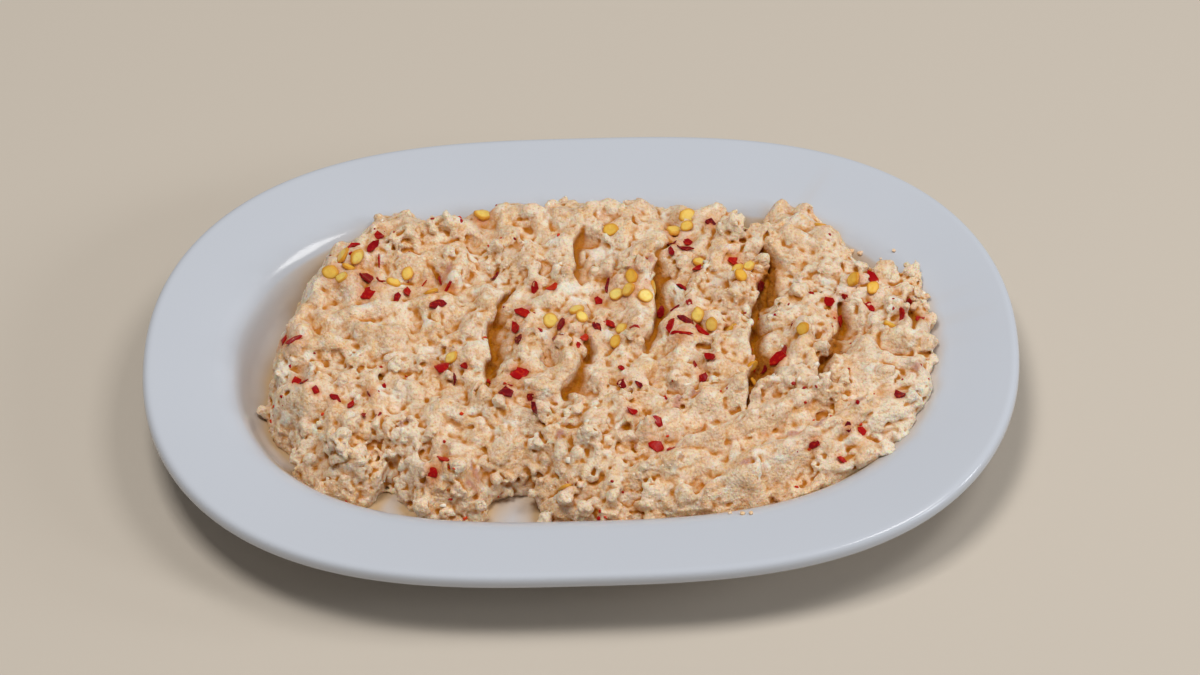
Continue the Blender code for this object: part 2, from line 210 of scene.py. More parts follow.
# The sprinkled chilli: place and spread of each patch in millimetres, and the seeds and flakes in it.
SPRINKLES = (
    (-71, 44, 3, 2, 0), (-70, 26, 4, 2, 0), (-64, 31, 3, 3, 0), (-59, 33, 7, 0, 5), (-52, 22, 6, 2, 5),
    (-80, 8, 4, 0, 2), (-75, -12, 4, 0, 3), (-66, -16, 4, 0, 2), (-57, -21, 4, 0, 3), (-40, 22, 6, 1, 3),
    (-26, 53, 3, 2, 0), (-23, 29, 0, 0, 1), (-34, -6, 5, 1, 3), (-10, 24, 5, 0, 2), (-16, 8, 5, 0, 4),
    (-3, 6, 6, 3, 4), (-17, -19, 8, 0, 5), (9, 45, 2, 1, 0), (6, 26, 4, 0, 2), (15, 22, 5, 5, 3),
    (11, 5, 5, 2, 3), (13, -12, 5, 0, 3), (31, 47, 4, 3, 1), (29, 33, 7, 1, 5), (27, 18, 4, 0, 4),
    (25, 4, 3, 0, 3), (35, 6, 5, 3, 1), (33, -8, 4, 0, 3), (45, 26, 4, 3, 2), (47, -9, 3, 2, 2),
    (54, -5, 4, 0, 4), (62, 0, 4, 1, 1), (68, 43, 2, 1, 0), (70, 14, 5, 0, 3), (80, 17, 5, 2, 2),
    (87, 7, 5, 1, 3), (91, -20, 3, 0, 1), (70, -34, 9, 0, 4), (24, -38, 12, 0, 4), (-5, -46, 1, 1, 0),
    (-40, -40, 5, 0, 2),
)
SPRINKLE_SPACING = 3.7 * MM
SPRINKLE_EDGE = 3.5 * MM
SPRINKLE_TRIES = 40
SPRINKLE_REACH = 1.3 * MM
SEAT_POINTS = 6
LEAST_UPWARD = -0.3  # loose pieces cling where the surface faces no further down than this

# Soft pink streaks of pepper that show through the cheese: place, length and angle from +X.
STREAKS = (
    (64, -31, 6, 25), (57, -33, 4, 0), (75, -25, 4, 40), (26, -22, 5, 60), (31, -19, 5, 50), (13, -26, 3, 90),
    (14, -36, 3, 90), (91, -12, 4, 30), (-29, -39, 5, 110), (-30, -44, 4, 20), (-6, -32, 4, 60),
    (-36, 30, 4, 70), (-48, -26, 4, 45), (44, -44, 5, 10), (-14, 14, 4, 80), (20, 30, 4, 100),
)

STREAK_WIDTH = 1.1 * MM

STAIN_REACH = (1.6, 3.4)  # how far chilli oil soaks in beside a seed or flake, in millimetres
HOLLOW_REACH = 1.1 * MM  # how far round a point the cheese counts toward the hollow it lies in

# Whole white curds that lie open in the top: place and radius in millimetres.
WHITE_CURDS = (
    (-36, 35, 1.9), (-23, 37, 1.6), (-6, 27, 1.5), (-60, -17, 1.7), (-36, -10, 1.4), (-22, -21, 1.7),
    (-12, -32, 2.0), (-62, -46, 1.8), (-52, -31, 1.6), (-49, -34, 1.3), (46, -45, 1.8), (73, 17, 2.1),
    (84, 3, 1.5), (90, -21, 2.2), (87, -31, 2.2), (82, -36, 1.8), (36, -14, 1.4), (64, 26, 1.5),
)

# Areas where the cheese took less pepper and stays pale: place and radius in millimetres. Beside them it is
# a little paler toward the right end.
PALE_AREAS = ((92, -15, 9), (87, -33, 8), (75, 18, 7), (-80, -10, 8), (-74, 30, 7), (6, 38, 7), (-46, -34, 7))
PALENESS = 0.28
WHITE_PALENESS = 0.85
PALE_AREA_GAIN = 0.35
PALER_TO_THE_RIGHT = 0.07

# Where a few crumbs lie on the rim, in millimetres
STRAY_CRUMBS = ((78.2, 39.4), (84.9, 35.7), (41.7, -58.8), (90.2, 20.9))
CRUMBS_EACH = 3

# Camera, fitted to the rim's outline
CAMERA_TARGET = (5.3 * MM, 25.1 * MM, 0)
CAMERA_AZIMUTH = 0.41
CAMERA_ELEVATION = 47.0
CAMERA_DISTANCE = 1.4
CAMERA_ROLL = 1.85
SENSOR_WIDTH = 36.0
PHOTO_WIDTH = 1200
FOCAL_PIXELS = 4990

# Lights: place, width and height of each in metres, and its colour
KEY_LIGHT = ((-0.2, -0.12, 1.46), 0.42, 0.42, (1.0, 0.97, 0.93))
CEILING_LIGHT = ((0.68, 0.0, 1.34), 0.45, 0.45, (1.0, 0.99, 0.97))
WINDOW_LIGHTS = (
    ((1.58, -0.1, 0.61), 0.25, 0.45, (0.95, 0.98, 1.0)),
    ((1.43, -0.56, 0.75), 0.25, 0.45, (0.95, 0.98, 1.0)),
)
ROOM_COLOUR = (1.0, 0.96, 0.91, 1)


# Small helpers
def linear(colour):
    """The linear red, green and blue of an sRGB hex value."""
    channels = [int(colour[k:k + 2], 16) / 255 for k in (1, 3, 5)]
    return tuple(c / 12.92 if c <= 0.04045 else ((c + 0.055) / 1.055) ** 2.4 for c in channels)


def size_setting(name, description, millimetres):
    return bpy.props.FloatProperty(
        name=name, description=description, default=millimetres * MM, min=0, precision=5, unit="LENGTH",
    )


def number_setting(name, description, value):
    return bpy.props.FloatProperty(name=name, description=description, default=value, min=0, precision=3)


def colour_setting(name, description, colour):
    return bpy.props.FloatVectorProperty(
        name=name, description=description, default=linear(colour), min=0, max=1, subtype="COLOR",
    )


def add(tree, kind, inputs=None, **settings):
    """Adds one node. settings are its properties; inputs are values, or sockets to link from. An input goes
    by its number, or by the name of the first one in use."""
    node = tree.nodes.new(kind)
    for name, value in settings.items():
        setattr(node, name, value)
    in_use = {entry.name: entry for entry in reversed(list(node.inputs)) if entry.enabled}
    for name, value in (inputs or {}).items():
        entry = node.inputs[name] if isinstance(name, int) else in_use[name]
        if isinstance(value, bpy.types.NodeSocket):
            tree.links.new(value, entry)
        else:
            entry.default_value = value
    return node


def new_material(name):
    """An empty material, its node tree, and the place of each point in the object."""
    made = bpy.data.materials.new(name)
    made.use_nodes = True
    made.node_tree.nodes.clear()
    return made, made.node_tree, add(made.node_tree, "ShaderNodeTexCoord").outputs["Object"]


def layered(tree, base, layers):
    """A colour with others laid over it in turn. Each layer is the value that it follows, the values where it
    starts and where it is fullest, its share there, and its colour."""
    colour = (*base, 1)
    for value, start, full, top, over in layers:
        ranged = {"Value": value, "From Min": start, "From Max": full, "To Max": top}
        share = add(tree, "ShaderNodeMapRange", ranged).outputs[0]
        inputs = {"Factor": share, "A": colour, "B": (*over, 1)}
        colour = add(tree, "ShaderNodeMix", inputs, data_type="RGBA").outputs[2]
    return colour


def shaded(tree, inputs):
    """Ends a material with its shader and its output."""
    shader = add(tree, "ShaderNodeBsdfPrincipled", inputs)
    add(tree, "ShaderNodeOutputMaterial", {"Surface": shader.outputs[0]})


def mesh_object(name, mesh, collection=None):
    thing = bpy.data.objects.new(name, mesh)
    (collection or bpy.context.scene.collection).objects.link(thing)
    return thing


def object_from(bm, name, collection=None):
    mesh = bpy.data.meshes.new(name)
    bm.to_mesh(mesh)
    bm.free()
    return mesh_object(name, mesh, collection)


def store(mesh, name, values, kind="FLOAT"):
    """Stores a value at each point of a mesh."""
    layer = mesh.attributes.new(name, kind, "POINT")
    field = "vector" if kind == "FLOAT_VECTOR" else "value"
    layer.data.foreach_set(field, np.ravel(values).astype(np.int32 if kind == "INT" else np.float32))


def drop_loose(bm):
    """Drops the points that no face uses."""
    loose = [vert for vert in bm.verts if not vert.link_faces]
    bmesh.ops.delete(bm, geom=loose, context="VERTS")


def realised(thing):
    """Turns a piece's modifiers into plain mesh."""
    graph = bpy.context.evaluated_depsgraph_get()
    mesh = bpy.data.meshes.new_from_object(thing.evaluated_get(graph))
    thing.modifiers.clear()
    thing.data = mesh


def set_down(piece, node, crisp=False):
    """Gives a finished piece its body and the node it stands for."""
    piece.data.shade_smooth()
    if crisp:
        piece.data.set_sharp_from_angle(angle=math.radians(35))
    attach(piece, "root")
    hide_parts(node)


def smooth_step(share):
    share = np.clip(share, 0, 1)
    return share * share * (3 - 2 * share)


def falloff(x, y, place_x, place_y, radius):
    """1 at a place, falling smoothly to 0 around it."""
    return np.exp(-((x - place_x) ** 2 + (y - place_y) ** 2) / radius ** 2)


# Platter
def oval(angles, inset, settings):
    """Points of the oval that lies this far inside the platter's outer edge."""
    across = np.cos(angles)
    along = np.sin(angles)
    x = (settings.length / 2 - inset) * np.sign(across) * abs(across) ** (2 / LENGTH_POWER)
    y = (settings.width / 2 - inset) * np.sign(along) * abs(along) ** (2 / WIDTH_POWER)
    return np.stack([x, y], axis=-1)


def even_angles(settings):
    """Angles that space the points of the outer oval evenly along it."""
    fine = np.linspace(0, 2 * math.pi, 8001)
    points = oval(fine, 0, settings)
    travelled = np.concatenate([[0], np.cumsum(np.linalg.norm(np.diff(points, axis=0), axis=1))])
    wanted = np.linspace(0, travelled[-1], PLATTER_SEGMENTS, endpoint=False)
    return np.interp(wanted, travelled, fine)


def rounded(corners):
    """The open line through corners of inset, height and radius, with each corner rounded."""
    line = []
    for index, (inset, height, radius) in enumerate(corners):
        here = Vector((inset, height))
        if not radius:
            line.append(here)
            continue
        before = Vector(corners[index - 1][:2]) - here
        after = Vector(corners[index + 1][:2]) - here
        reach = radius / math.tan(before.angle(after) / 2)
        start = here + before.normalized() * reach
        end = here + after.normalized() * reach
        for step in range(ROUND_STEPS + 1):
            share = step / ROUND_STEPS
            line.append(start.lerp(here, share).lerp(here.lerp(end, share), share))
    return line


def platter_section(settings):
    """The section from the middle of the floor, out over the lip and back under to the middle of the base."""
    lip_corner = settings.height + LIP_CORNER
    edge_height = lip_corner - settings.rim_drop
    foot_outside = FOOT_INSET - FOOT_WIDTH
    shell_inset = settings.rim_width - BODY_THICKNESS / 2
    return rounded((
        (FLOOR_INSET, FLOOR_HEIGHT, 0),
        (settings.rim_width + WELL_WALL_RUN, FLOOR_HEIGHT, WELL_FOOT_ROUND),
        (settings.rim_width, edge_height, WELL_EDGE_ROUND),
        (0, lip_corner, LIP_ROUND),
        (0, lip_corner - LIP_THICKNESS, LIP_ROUND),
        (shell_inset, edge_height - BODY_THICKNESS, WELL_EDGE_ROUND),
        (foot_outside, FOOT_DEPTH, FOOT_ROUND),
        (foot_outside, 0, FOOT_ROUND),
        (FOOT_INSET, 0, FOOT_ROUND),
        (FOOT_INSET + FOOT_DEPTH / 2, FOOT_DEPTH, FOOT_ROUND),
        (FLOOR_INSET, FOOT_DEPTH, 0),
    ))


def inset_at(x, y, settings):
    """How far inside the platter's outer edge each place lies."""
    low = np.zeros_like(x)
    high = np.full_like(x, FLOOR_INSET + 10 * MM)
    for _ in range(24):
        middle = (low + high) / 2
        reach = (abs(x) / (settings.length / 2 - middle)) ** LENGTH_POWER
        reach = reach + (abs(y) / (settings.width / 2 - middle)) ** WIDTH_POWER
        low = np.where(reach < 1, middle, low)
        high = np.where(reach < 1, high, middle)
    return low


def platter_top(x, y, settings):
    """The height of the platter's upper side at each place."""
    section = platter_section(settings)
    upper = section[:4 + 3 * ROUND_STEPS + 1]
    insets = np.array([point.x for point in upper])
    heights = np.array([point.y for point in upper])
    order = np.argsort(insets)
    return np.interp(inset_at(x, y, settings), insets[order], heights[order])


# Dip: its spooned form
def dip_outline():
    """The outline as a dense closed line of x, y and height: a Catmull-Rom curve through its points."""
    points = [Vector(point) * MM for point in DIP_OUTLINE]
    count = len(points)
    line = []
    for k in range(count):
        before, start, end, after = (points[(k + shift) % count] for shift in (-1, 0, 1, 2))
        for step in range(OUTLINE_STEPS):
            t = step / OUTLINE_STEPS
            bend = (2 * before - 5 * start + 4 * end - after) * t ** 2
            twist = (3 * start - before - 3 * end + after) * t ** 3
            line.append(0.5 * (2 * start + (end - before) * t + bend + twist))
    return np.array(line)


def edge_distance(x, y, line):
    """How far each place lies inside the outline (negative outside it), and the edge's height near it."""
    nearest = np.full(x.shape, np.inf)
    edge_height = np.zeros(x.shape)
    inside = np.zeros(x.shape, bool)
    for start, end in zip(line, np.roll(line, -1, axis=0)):
        along = end - start
        share = ((x - start[0]) * along[0] + (y - start[1]) * along[1]) / (along[0] ** 2 + along[1] ** 2)
        share = np.clip(share, 0, 1)
        away = np.hypot(x - start[0] - share * along[0], y - start[1] - share * along[1])
        closer = away < nearest
        nearest = np.where(closer, away, nearest)
        edge_height = np.where(closer, start[2] + share * along[2], edge_height)
        if start[1] != end[1]:
            spans = (start[1] > y) != (end[1] > y)
            inside ^= spans & (x < start[0] + (y - start[1]) / along[1] * along[0])
    return np.where(inside, nearest, -nearest), edge_height


def spooned(x, y):
    """How far lumps, mounds with creases between them and the spoon's long strokes raise one place."""
    lumps = 0.0
    for width, height in LUMPS:
        lumps += height * noise.noise(Vector((x / width, y / width, width / MM)))
    for width, height in CURD_MOUNDS:
        lumps += height * (abs(noise.noise(Vector((x / width, y / width, width / MM)))) - CREASE_LEVEL)
    wander = 1.5 * noise.noise(Vector((x, y, 0)) / STROKE_WANDER)
    stroke = STROKE_HEIGHT * math.sin((y - STROKE_SLANT * x) * 2 * math.pi / STROKE_SPACING + wander)
    return lumps + stroke * front_right(x, y)


def front_right(x, y):
    """1 where the long strokes of the spoon cross the dip's front right, 0 away from there."""
    return smooth_step((x + 5 * MM) / (30 * MM)) * smooth_step((-10 * MM - y) / (12 * MM))


def top_heights(x, y, distance, edge_height, settings):
    """The height of the dip's top over each place."""
    front = smooth_step((FRONT_STARTS - y) / (FRONT_STARTS - FRONT_FULL))
    slope = SIDE_SLOPE + (FRONT_SLOPE - SIDE_SLOPE) * front
    shoulder = np.sin(np.clip(distance / slope, 0, 1) * math.pi / 2) ** 0.8
    height = edge_height + (settings.top_height - edge_height) * shoulder
    for mound_x, mound_y, radius, rise in MOUNDS:
        height += rise * MM * falloff(x, y, mound_x * MM, mound_y * MM, radius * MM)
    return height + np.vectorize(spooned)(x, y)


# Dip: the solid on a grid
def soft_min(a, b, blend):
    share = np.clip(0.5 + 0.5 * (b - a) / blend, 0, 1)
    return b + (a - b) * share - blend * share * (1 - share)


def cloud(axes, size, draw):
    """Smooth noise between -1 and 1 with features of this size, on the grid of these axes."""
    field = draw.uniform(-1, 1, [int(np.ptp(axis) / size) + 3 for axis in axes])
    for number, axis in enumerate(axes):
        at = (axis - axis[0]) / size
        low = at.astype(int)
        share = smooth_step(at - low).reshape(-1, *[1] * (field.ndim - 1))
        field = np.moveaxis(field, number, 0)
        field = field[low] * (1 - share) + field[low + 1] * share
        field = np.moveaxis(field, 0, number)
    return field


class Cheese:
    """The dip as a grid of cells: how deep each lies inside the surface, and how pale its cheese is."""

    def __init__(self, settings, platter):
        self.draw = np.random.default_rng(11)
        self.cell = settings.cell
        self.line = dip_outline()
        low = self.line.min(axis=0) - GRID_MARGIN
        high = self.line.max(axis=0) + GRID_MARGIN
        low[2] = FLOOR_HEIGHT - 2 * self.cell
        high[2] = settings.top_height + HEADROOM
        self.low = low
        self.axes = [np.arange(a, b, self.cell) for a, b in zip(low, high)]
        x, y = np.meshgrid(*self.axes[:2], indexing="ij")
        self.distance, edge_height = edge_distance(x, y, self.line)
        self.top = top_heights(x, y, self.distance, edge_height, settings)
        self.floor = platter_top(x, y, platter)
        self.strokes = front_right(x, y)
        self.far = smooth_step((y - 25 * MM) / (20 * MM))
        edge = np.exp(-np.maximum(self.distance, 0) / (5 * MM)) * (1 - 1.6 * self.far)
        front = smooth_step((-14 * MM - y) / (14 * MM)) * (1 - self.strokes)
        patches = cloud(self.axes[:2], PATCH_SIZE, self.draw)
        torn = TORN_EVERYWHERE + TORN_PATCHES * patches
        torn = torn + TORN_EDGE * edge + TORN_FRONT * front + TORN_STROKES * self.strokes
        self.rough = 0.08 + 0.92 * smooth_step(torn)
        self.paler = PALER_TO_THE_RIGHT * x / cad_high.x
        for pale_x, pale_y, radius in PALE_AREAS:
            self.paler += PALE_AREA_GAIN * falloff(x, y, pale_x * MM, pale_y * MM, radius * MM)
        self.pepper = cloud(self.axes[:2], PEPPER_SIZE, self.draw)
        self.ragged = cloud(self.axes, RAGGED_SIZE, self.draw).astype(np.float32)
        self.spoon_form()

    def spoon_form(self):
        """The spooned form, with soft cloud added to its sides, and the slits cut in it."""
        slope_x, slope_y = np.gradient(self.top, self.cell)
        steepness = np.sqrt(1 + np.minimum(slope_x ** 2 + slope_y ** 2, 4))
        above = (self.top[..., None] - self.axes[2]) / steepness[..., None]
        ragged = SIDE_RAGGED_HEIGHT * cloud(self.axes, SIDE_RAGGED_SIZE, self.draw)
        side = self.distance[..., None] + ragged
        self.form = soft_min(above + 0.3 * ragged, side, 2.5 * MM).astype(np.float32)
        self.depth = self.form.copy()
        for number, slit in enumerate(SLITS):
            self.depth = soft_min(self.depth, -self.slit_depth(slit, number), 0.5 * MM)
        self.depth = self.depth.astype(np.float32)
        self.paleness = np.repeat((PALENESS + self.paler)[..., None], self.depth.shape[2], axis=2)

    def slit_depth(self, slit, number):
        """How deep each cell lies inside one slit: a steep wall on its left, and a slope up on its right."""
        far, near, width, depth = slit
        far, near = np.array(far) * MM, np.array(near) * MM
        width, depth = SLIT_OPENS * width * MM, SLIT_FILLS * depth * MM
        middle, half = (far + near) / 2, np.linalg.norm(far - near) / 2
        along = (far - near) / (2 * half)
        x, y = np.meshgrid(*self.axes[:2], indexing="ij")
        run = (x - middle[0]) * along[0] + (y - middle[1]) * along[1]
        across = (x - middle[0]) * along[1] - (y - middle[1]) * along[0]
        for swing, length, shift in SLIT_WANDERS:
            across = across + swing * MM * np.sin(run / (length * MM) + shift * number)
        taper = np.sqrt(np.clip(1 - (run / half) ** 4, 0, 1))
        uneven = np.sin(run / (3.1 * MM) + 5 * number) * np.sin(run / (7.3 * MM) + number)
        width = width * (1 + 0.3 * uneven[..., None])
        bottom = self.top - depth * taper * (1 + 0.25 * uneven)
        share = np.clip((self.axes[2] - bottom[..., None]) / depth, 0, 1.3)
        left = (STEEP_WALL[0] + STEEP_WALL[1] * share) * width * taper[..., None]
        right = (SLOPED_WALL[0] + SLOPED_WALL[1] * share ** 1.3) * width * taper[..., None]
        inside = np.minimum(across[..., None] - left, (right - across[..., None]) * 0.8)
        return np.minimum(inside, self.axes[2] - bottom[..., None])

    def calm(self, cells):
        """1 on the open surface, falling toward 0 down in the slits, whose walls the spoon left smooth."""
        return 1 - 0.65 * smooth_step((self.form[cells] / MM - 0.8) / 1.2)

    def tear(self):
        """Tears the surface into curds of several sizes, the largest first. Each curd is moved out or in and
        tilted, and cracks open between curds where the surface is rough."""
        drift = 3.0 * cloud(self.axes[:2], DRIFT_SIZE, self.draw)
        angle = drift + self.strokes * (math.atan(STROKE_SLANT) - drift)
        warp = [cloud(self.axes, WARP_SIZE, self.draw) for _ in range(3)]
        for size, stand, crack, width, reach, whites, least in TEARS:
            near = np.argwhere(abs(self.depth) < reach * MM)
            cells = tuple(near.T)
            columns = tuple(near[:, :2].T)
            rough = self.rough[columns]
            drawn_out = np.sqrt(0.45 + 0.42 * self.strokes[columns])
            flow = np.stack([np.cos(angle[columns]), np.sin(angle[columns]), np.zeros(len(near))], axis=1)
            flow *= drawn_out[:, None]
            shift = np.stack([axis_warp[cells] for axis_warp in warp], axis=1)
            points = self.low + near * self.cell + 0.25 * size * MM * shift
            soft = (0.5 - 0.35 * rough) * size * MM
            out, edge, kind = torn_cells(points, flow.astype(np.float32), size * MM, soft, self.draw)
            open_here = np.exp(-(edge / (width * MM)) ** 2) * smooth_step((kind - 0.3) / 0.4)
            torn = least + (MOST_TORN - least) * rough
            moved = stand * MM * out * torn - crack * MM * open_here * rough ** 1.5
            moved *= self.calm(cells)
            limit = 0.85 * reach * MM
            self.depth[cells] += np.clip(moved, -limit, limit)
            self.paleness[cells] += (0.15 + 0.03 * size) * (kind - 0.4)
            self.paleness[cells] = np.where(kind > 1 - whites, WHITE_PALENESS, self.paleness[cells])
        self.depth += (FINEST_RELIEF * self.ragged).astype(np.float32)
        self.paleness = np.clip(self.paleness, 0, 1)

    def skin(self):
        """The cells of the open surface, with the outward direction of each."""
        slopes = np.gradient(self.depth, self.cell)
        open_air = self.axes[2] - self.floor[..., None] > 0.8 * MM
        cells = np.argwhere((abs(self.depth) < 0.6 * self.cell) & open_air)
        outward = -np.stack([slope[tuple(cells.T)] for slope in slopes], axis=1)
        return cells, outward / np.linalg.norm(outward, axis=1, keepdims=True)

    def window(self, centre, reach):
        """The block of cells within reach of a point."""
        low = np.maximum((centre - reach - self.low) / self.cell, 0).astype(int)
        high = ((centre + reach - self.low) / self.cell).astype(int) + 2
        return tuple(slice(a, b) for a, b in zip(low, high))

    def blob(self, centre, radii, turn, squareness):
        """The cells around one ragged blob, and how deep each lies inside it."""
        block = self.window(centre, 1.5 * radii.max() + 2 * self.cell)
        x, y, z = np.meshgrid(*[a[s] - c for a, s, c in zip(self.axes, block, centre)], indexing="ij")
        local = [abs(x * t[0] + y * t[1] + z * t[2]) / r for t, r in zip(turn, radii)]
        size = sum(part ** squareness for part in local) ** (1 / squareness)
        return block, (1 - size + 0.45 * self.ragged[block]) * radii.min()

    def press_in(self, count, radius, stand, weight, paleness=None, stretch=(1, 1, 1), cut=False):
        """Presses curds into the surface, or leaves pits in it. stand is how far out their middles are."""
        cells, outward = self.skin()
        weights = weight[tuple(cells[:, :2].T)] * self.calm(tuple(cells.T))
        chosen = self.draw.choice(len(cells), count, replace=False, p=weights / weights.sum())
        for cell, normal in zip(cells[chosen], outward[chosen]):
            size = radius[0] * (radius[1] / radius[0]) ** self.draw.random()
            point = self.low + cell * self.cell + normal * size * self.draw.uniform(*stand)
            self.press_one(point, size, paleness, stretch, cut)

    def press_one(self, point, size, paleness=None, stretch=(1, 1, 1), cut=False):
        """Presses on one ragged lump of about this radius, or cuts it out."""
        radii = size * np.array(stretch) * self.draw.uniform(0.75, 1.3, 3)
        turn = np.array(Euler(self.draw.uniform(0, 2 * math.pi, 3)).to_matrix())
        block, deep = self.blob(point, radii, turn, self.draw.uniform(2.0, 4.5))
        here = self.depth[block]
        if cut:
            self.depth[block] = soft_min(here, -deep, 0.25 * MM)
            return
        self.depth[block] = -soft_min(-here, -deep, 0.2 * MM)
        if paleness:
            pale = self.draw.uniform(*paleness)
            front = (deep > here) & (deep > -2 * self.cell)
            self.paleness[block] = np.where(front, pale, self.paleness[block])

    def soften(self):
        """Evens the depth out between neighbouring cells, so that no sheet thinner than a cell is left."""
        for axis in range(3):
            beside = np.roll(self.depth, 1, axis) + np.roll(self.depth, -1, axis)
            self.depth = 0.7 * self.depth + 0.15 * beside

    def openness(self, reach):
        """The share of solid round each cell, within a box of this half width: over a half in a hollow."""
        solid = (self.depth > 0).astype(np.float32)
        steps = max(1, round(reach / self.cell))
        for axis in range(3):
            total = np.cumsum(solid, axis=axis, dtype=np.float64)
            total = np.moveaxis(total, axis, 0)
            upper = total[np.minimum(np.arange(len(total)) + steps, len(total) - 1)]
            lower = total[np.maximum(np.arange(len(total)) - steps - 1, 0)]
            solid = np.moveaxis((upper - lower) / (2 * steps + 1), 0, axis)
        return solid

    def at(self, field, points):
        """The field's value at each point, read between its cells."""
        place = (points - self.low) / self.cell
        place = np.clip(place, 0, np.array(field.shape) - 1.001)
        home = place.astype(int)
        share = place - home
        total = np.zeros(len(points))
        for step in itertools.product((0, 1), repeat=3):
            weight = np.prod(np.where(step, share, 1 - share), axis=1)
            total += weight * field[tuple((home + step).T)]
        return total


def torn_cells(points, flow, size, soft, draw):
    """Splits space into irregular cells round random middles, drawn out along flow. Gives how far each
    point's cell stands out there, blended with the next cell within soft of the edge between them, how far
    the point lies from that edge, and a random value of the cell."""
    low = points.min(axis=0)
    count = ((points.max(axis=0) - low) / size).astype(int) + 4
    middles = draw.random((*count, 3), np.float32)
    values = draw.uniform(-1, 1, (*count, 4)).astype(np.float32)
    kinds = draw.random(count)
    scaled = ((points - low) / size + 1).astype(np.float32)
    home = scaled.astype(int)
    nearest = np.full(len(points), np.inf, np.float32)
    second = nearest.copy()
    winner = home.copy()
    runner_up = home.copy()
    for step in itertools.product((-1, 0, 1), repeat=3):
        cell = home + step
        away = middles[cell[:, 0], cell[:, 1], cell[:, 2]] + cell.astype(np.float32) - scaled
        run = np.einsum("ij,ij->i", away, flow)
        reach = np.einsum("ij,ij->i", away, away) - run * run
        closer = reach < nearest
        between = (reach < second) & ~closer
        runner_up[closer] = winner[closer]
        runner_up[between] = cell[between]
        second = np.where(closer, nearest, np.minimum(second, reach))
        nearest = np.where(closer, reach, nearest)
        winner[closer] = cell[closer]
    edge = (np.sqrt(second) - np.sqrt(nearest)) * size
    stands = []
    for cell in (winner, runner_up):
        value = values[tuple(cell.T)]
        offset = middles[tuple(cell.T)] + cell - scaled
        stands.append(value[:, 0] - CURD_TILT * np.einsum("ij,ij->i", value[:, 1:], offset))
    mixed = 0.5 - 0.5 * smooth_step(edge / soft)
    stand = stands[0] + (stands[1] - stands[0]) * mixed
    return stand, edge, kinds[tuple(winner.T)]


def surface_of(depth, low, cell):
    """Points and four-sided faces of the surface where depth is 0, with one point in each cell it crosses."""
    solid = depth > 0
    corners = np.array(list(itertools.product((0, 1), repeat=3)))
    shape = np.array(depth.shape) - 1
    counts = sum(
        solid[tuple(slice(c, n + c) for c, n in zip(corner, shape))].astype(np.int8) for corner in corners
    )
    crossed = (counts > 0) & (counts < 8)
    index = np.full(crossed.shape, -1)
    cells = np.argwhere(crossed)
    index[crossed] = np.arange(len(cells))
    values = [depth[tuple((cells + corner).T)] for corner in corners]
    total = np.zeros((len(cells), 3))
    hits = np.zeros(len(cells))
    for a, b in itertools.combinations(range(8), 2):
        if abs(corners[a] - corners[b]).sum() > 1:
            continue
        cut = (values[a] > 0) != (values[b] > 0)
        share = values[a][cut] / (values[a][cut] - values[b][cut])
        total[cut] += corners[a] + share[:, None] * (corners[b] - corners[a])
        hits[cut] += 1
    points = low + cell * (cells + total / hits[:, None])
    faces = []
    for axis in range(3):
        u, v = np.eye(3, dtype=int)[(axis + 1) % 3], np.eye(3, dtype=int)[(axis + 2) % 3]
        step = np.eye(3, dtype=int)[axis]
        here = solid[tuple(slice(0, -1 if k else None) for k in step)]
        after = solid[tuple(slice(1 if k else 0, None) for k in step)]
        for goes_out in (True, False):
            edges = np.argwhere(here & ~after if goes_out else ~here & after)
            ring = [edges, edges - u, edges - u - v, edges - v]
            quads = np.stack([index[tuple(cell_of.T)] for cell_of in ring], axis=1)
            faces.append(quads if goes_out else quads[:, ::-1])
    return points, np.concatenate(faces)


def main_island(points, faces):
    """Leaves out crumbs that float free of the largest island."""
    label = np.arange(len(points))
    pairs = np.concatenate([faces[:, [k, (k + 1) % 4]] for k in range(4)])
    while True:
        before = label.copy()
        lowest = np.minimum(label[pairs[:, 0]], label[pairs[:, 1]])
        np.minimum.at(label, pairs[:, 0], lowest)
        np.minimum.at(label, pairs[:, 1], lowest)
        label = label[label]
        if (label == before).all():
            break
    names, sizes = np.unique(label, return_counts=True)
    kept = label == names[sizes.argmax()]
    faces = faces[kept[faces[:, 0]]]
    renumber = np.cumsum(kept) - 1
    return points[kept], renumber[faces]


def grow_cheese(settings, platter):
    """Grows the dip: the spooned form torn into curds, with lumps and pits where it is rough."""
    cheese = Cheese(settings, platter)
    cheese.tear()
    rough = cheese.rough
    lumpy = rough ** 3 * (1 - cheese.far * (cheese.distance < 6 * MM))
    cheese.press_in(settings.lumps, LUMP_RADIUS, (-1.0, -0.4), lumpy, paleness=(0.3, 0.7))
    cheese.press_in(settings.pits, PIT_RADIUS, (-0.4, 0.4), rough, stretch=(1.9, 0.9, 1.0), cut=True)
    for x, y, radius in WHITE_CURDS:
        column = tuple(((np.array((x, y)) * MM - cheese.low[:2]) / cheese.cell).astype(int))
        point = np.array((x * MM, y * MM, cheese.top[column] - 0.3 * radius * MM))
        cheese.press_one(point, radius * MM, (0.92, 1.0))
    cheese.soften()
    clear = (cheese.axes[2] - cheese.floor[..., None] + PRESSED_IN).astype(np.float32)
    cheese.depth = np.minimum(cheese.depth, clear)
    cheese.depth[:, :, -1] = -cheese.cell
    return cheese


def stained(points, line):
    """How much chilli oil soaked in at each point, beside the seeds and flakes."""
    stain = np.zeros(len(points))
    for _, place, draw in sprinkle_places(line):
        reach = draw.uniform(*STAIN_REACH) * MM
        near = falloff(points[:, 0], points[:, 1], place.x, place.y, reach)
        stain = np.maximum(stain, draw.uniform(0.3, 1.0) * near)
    return stain


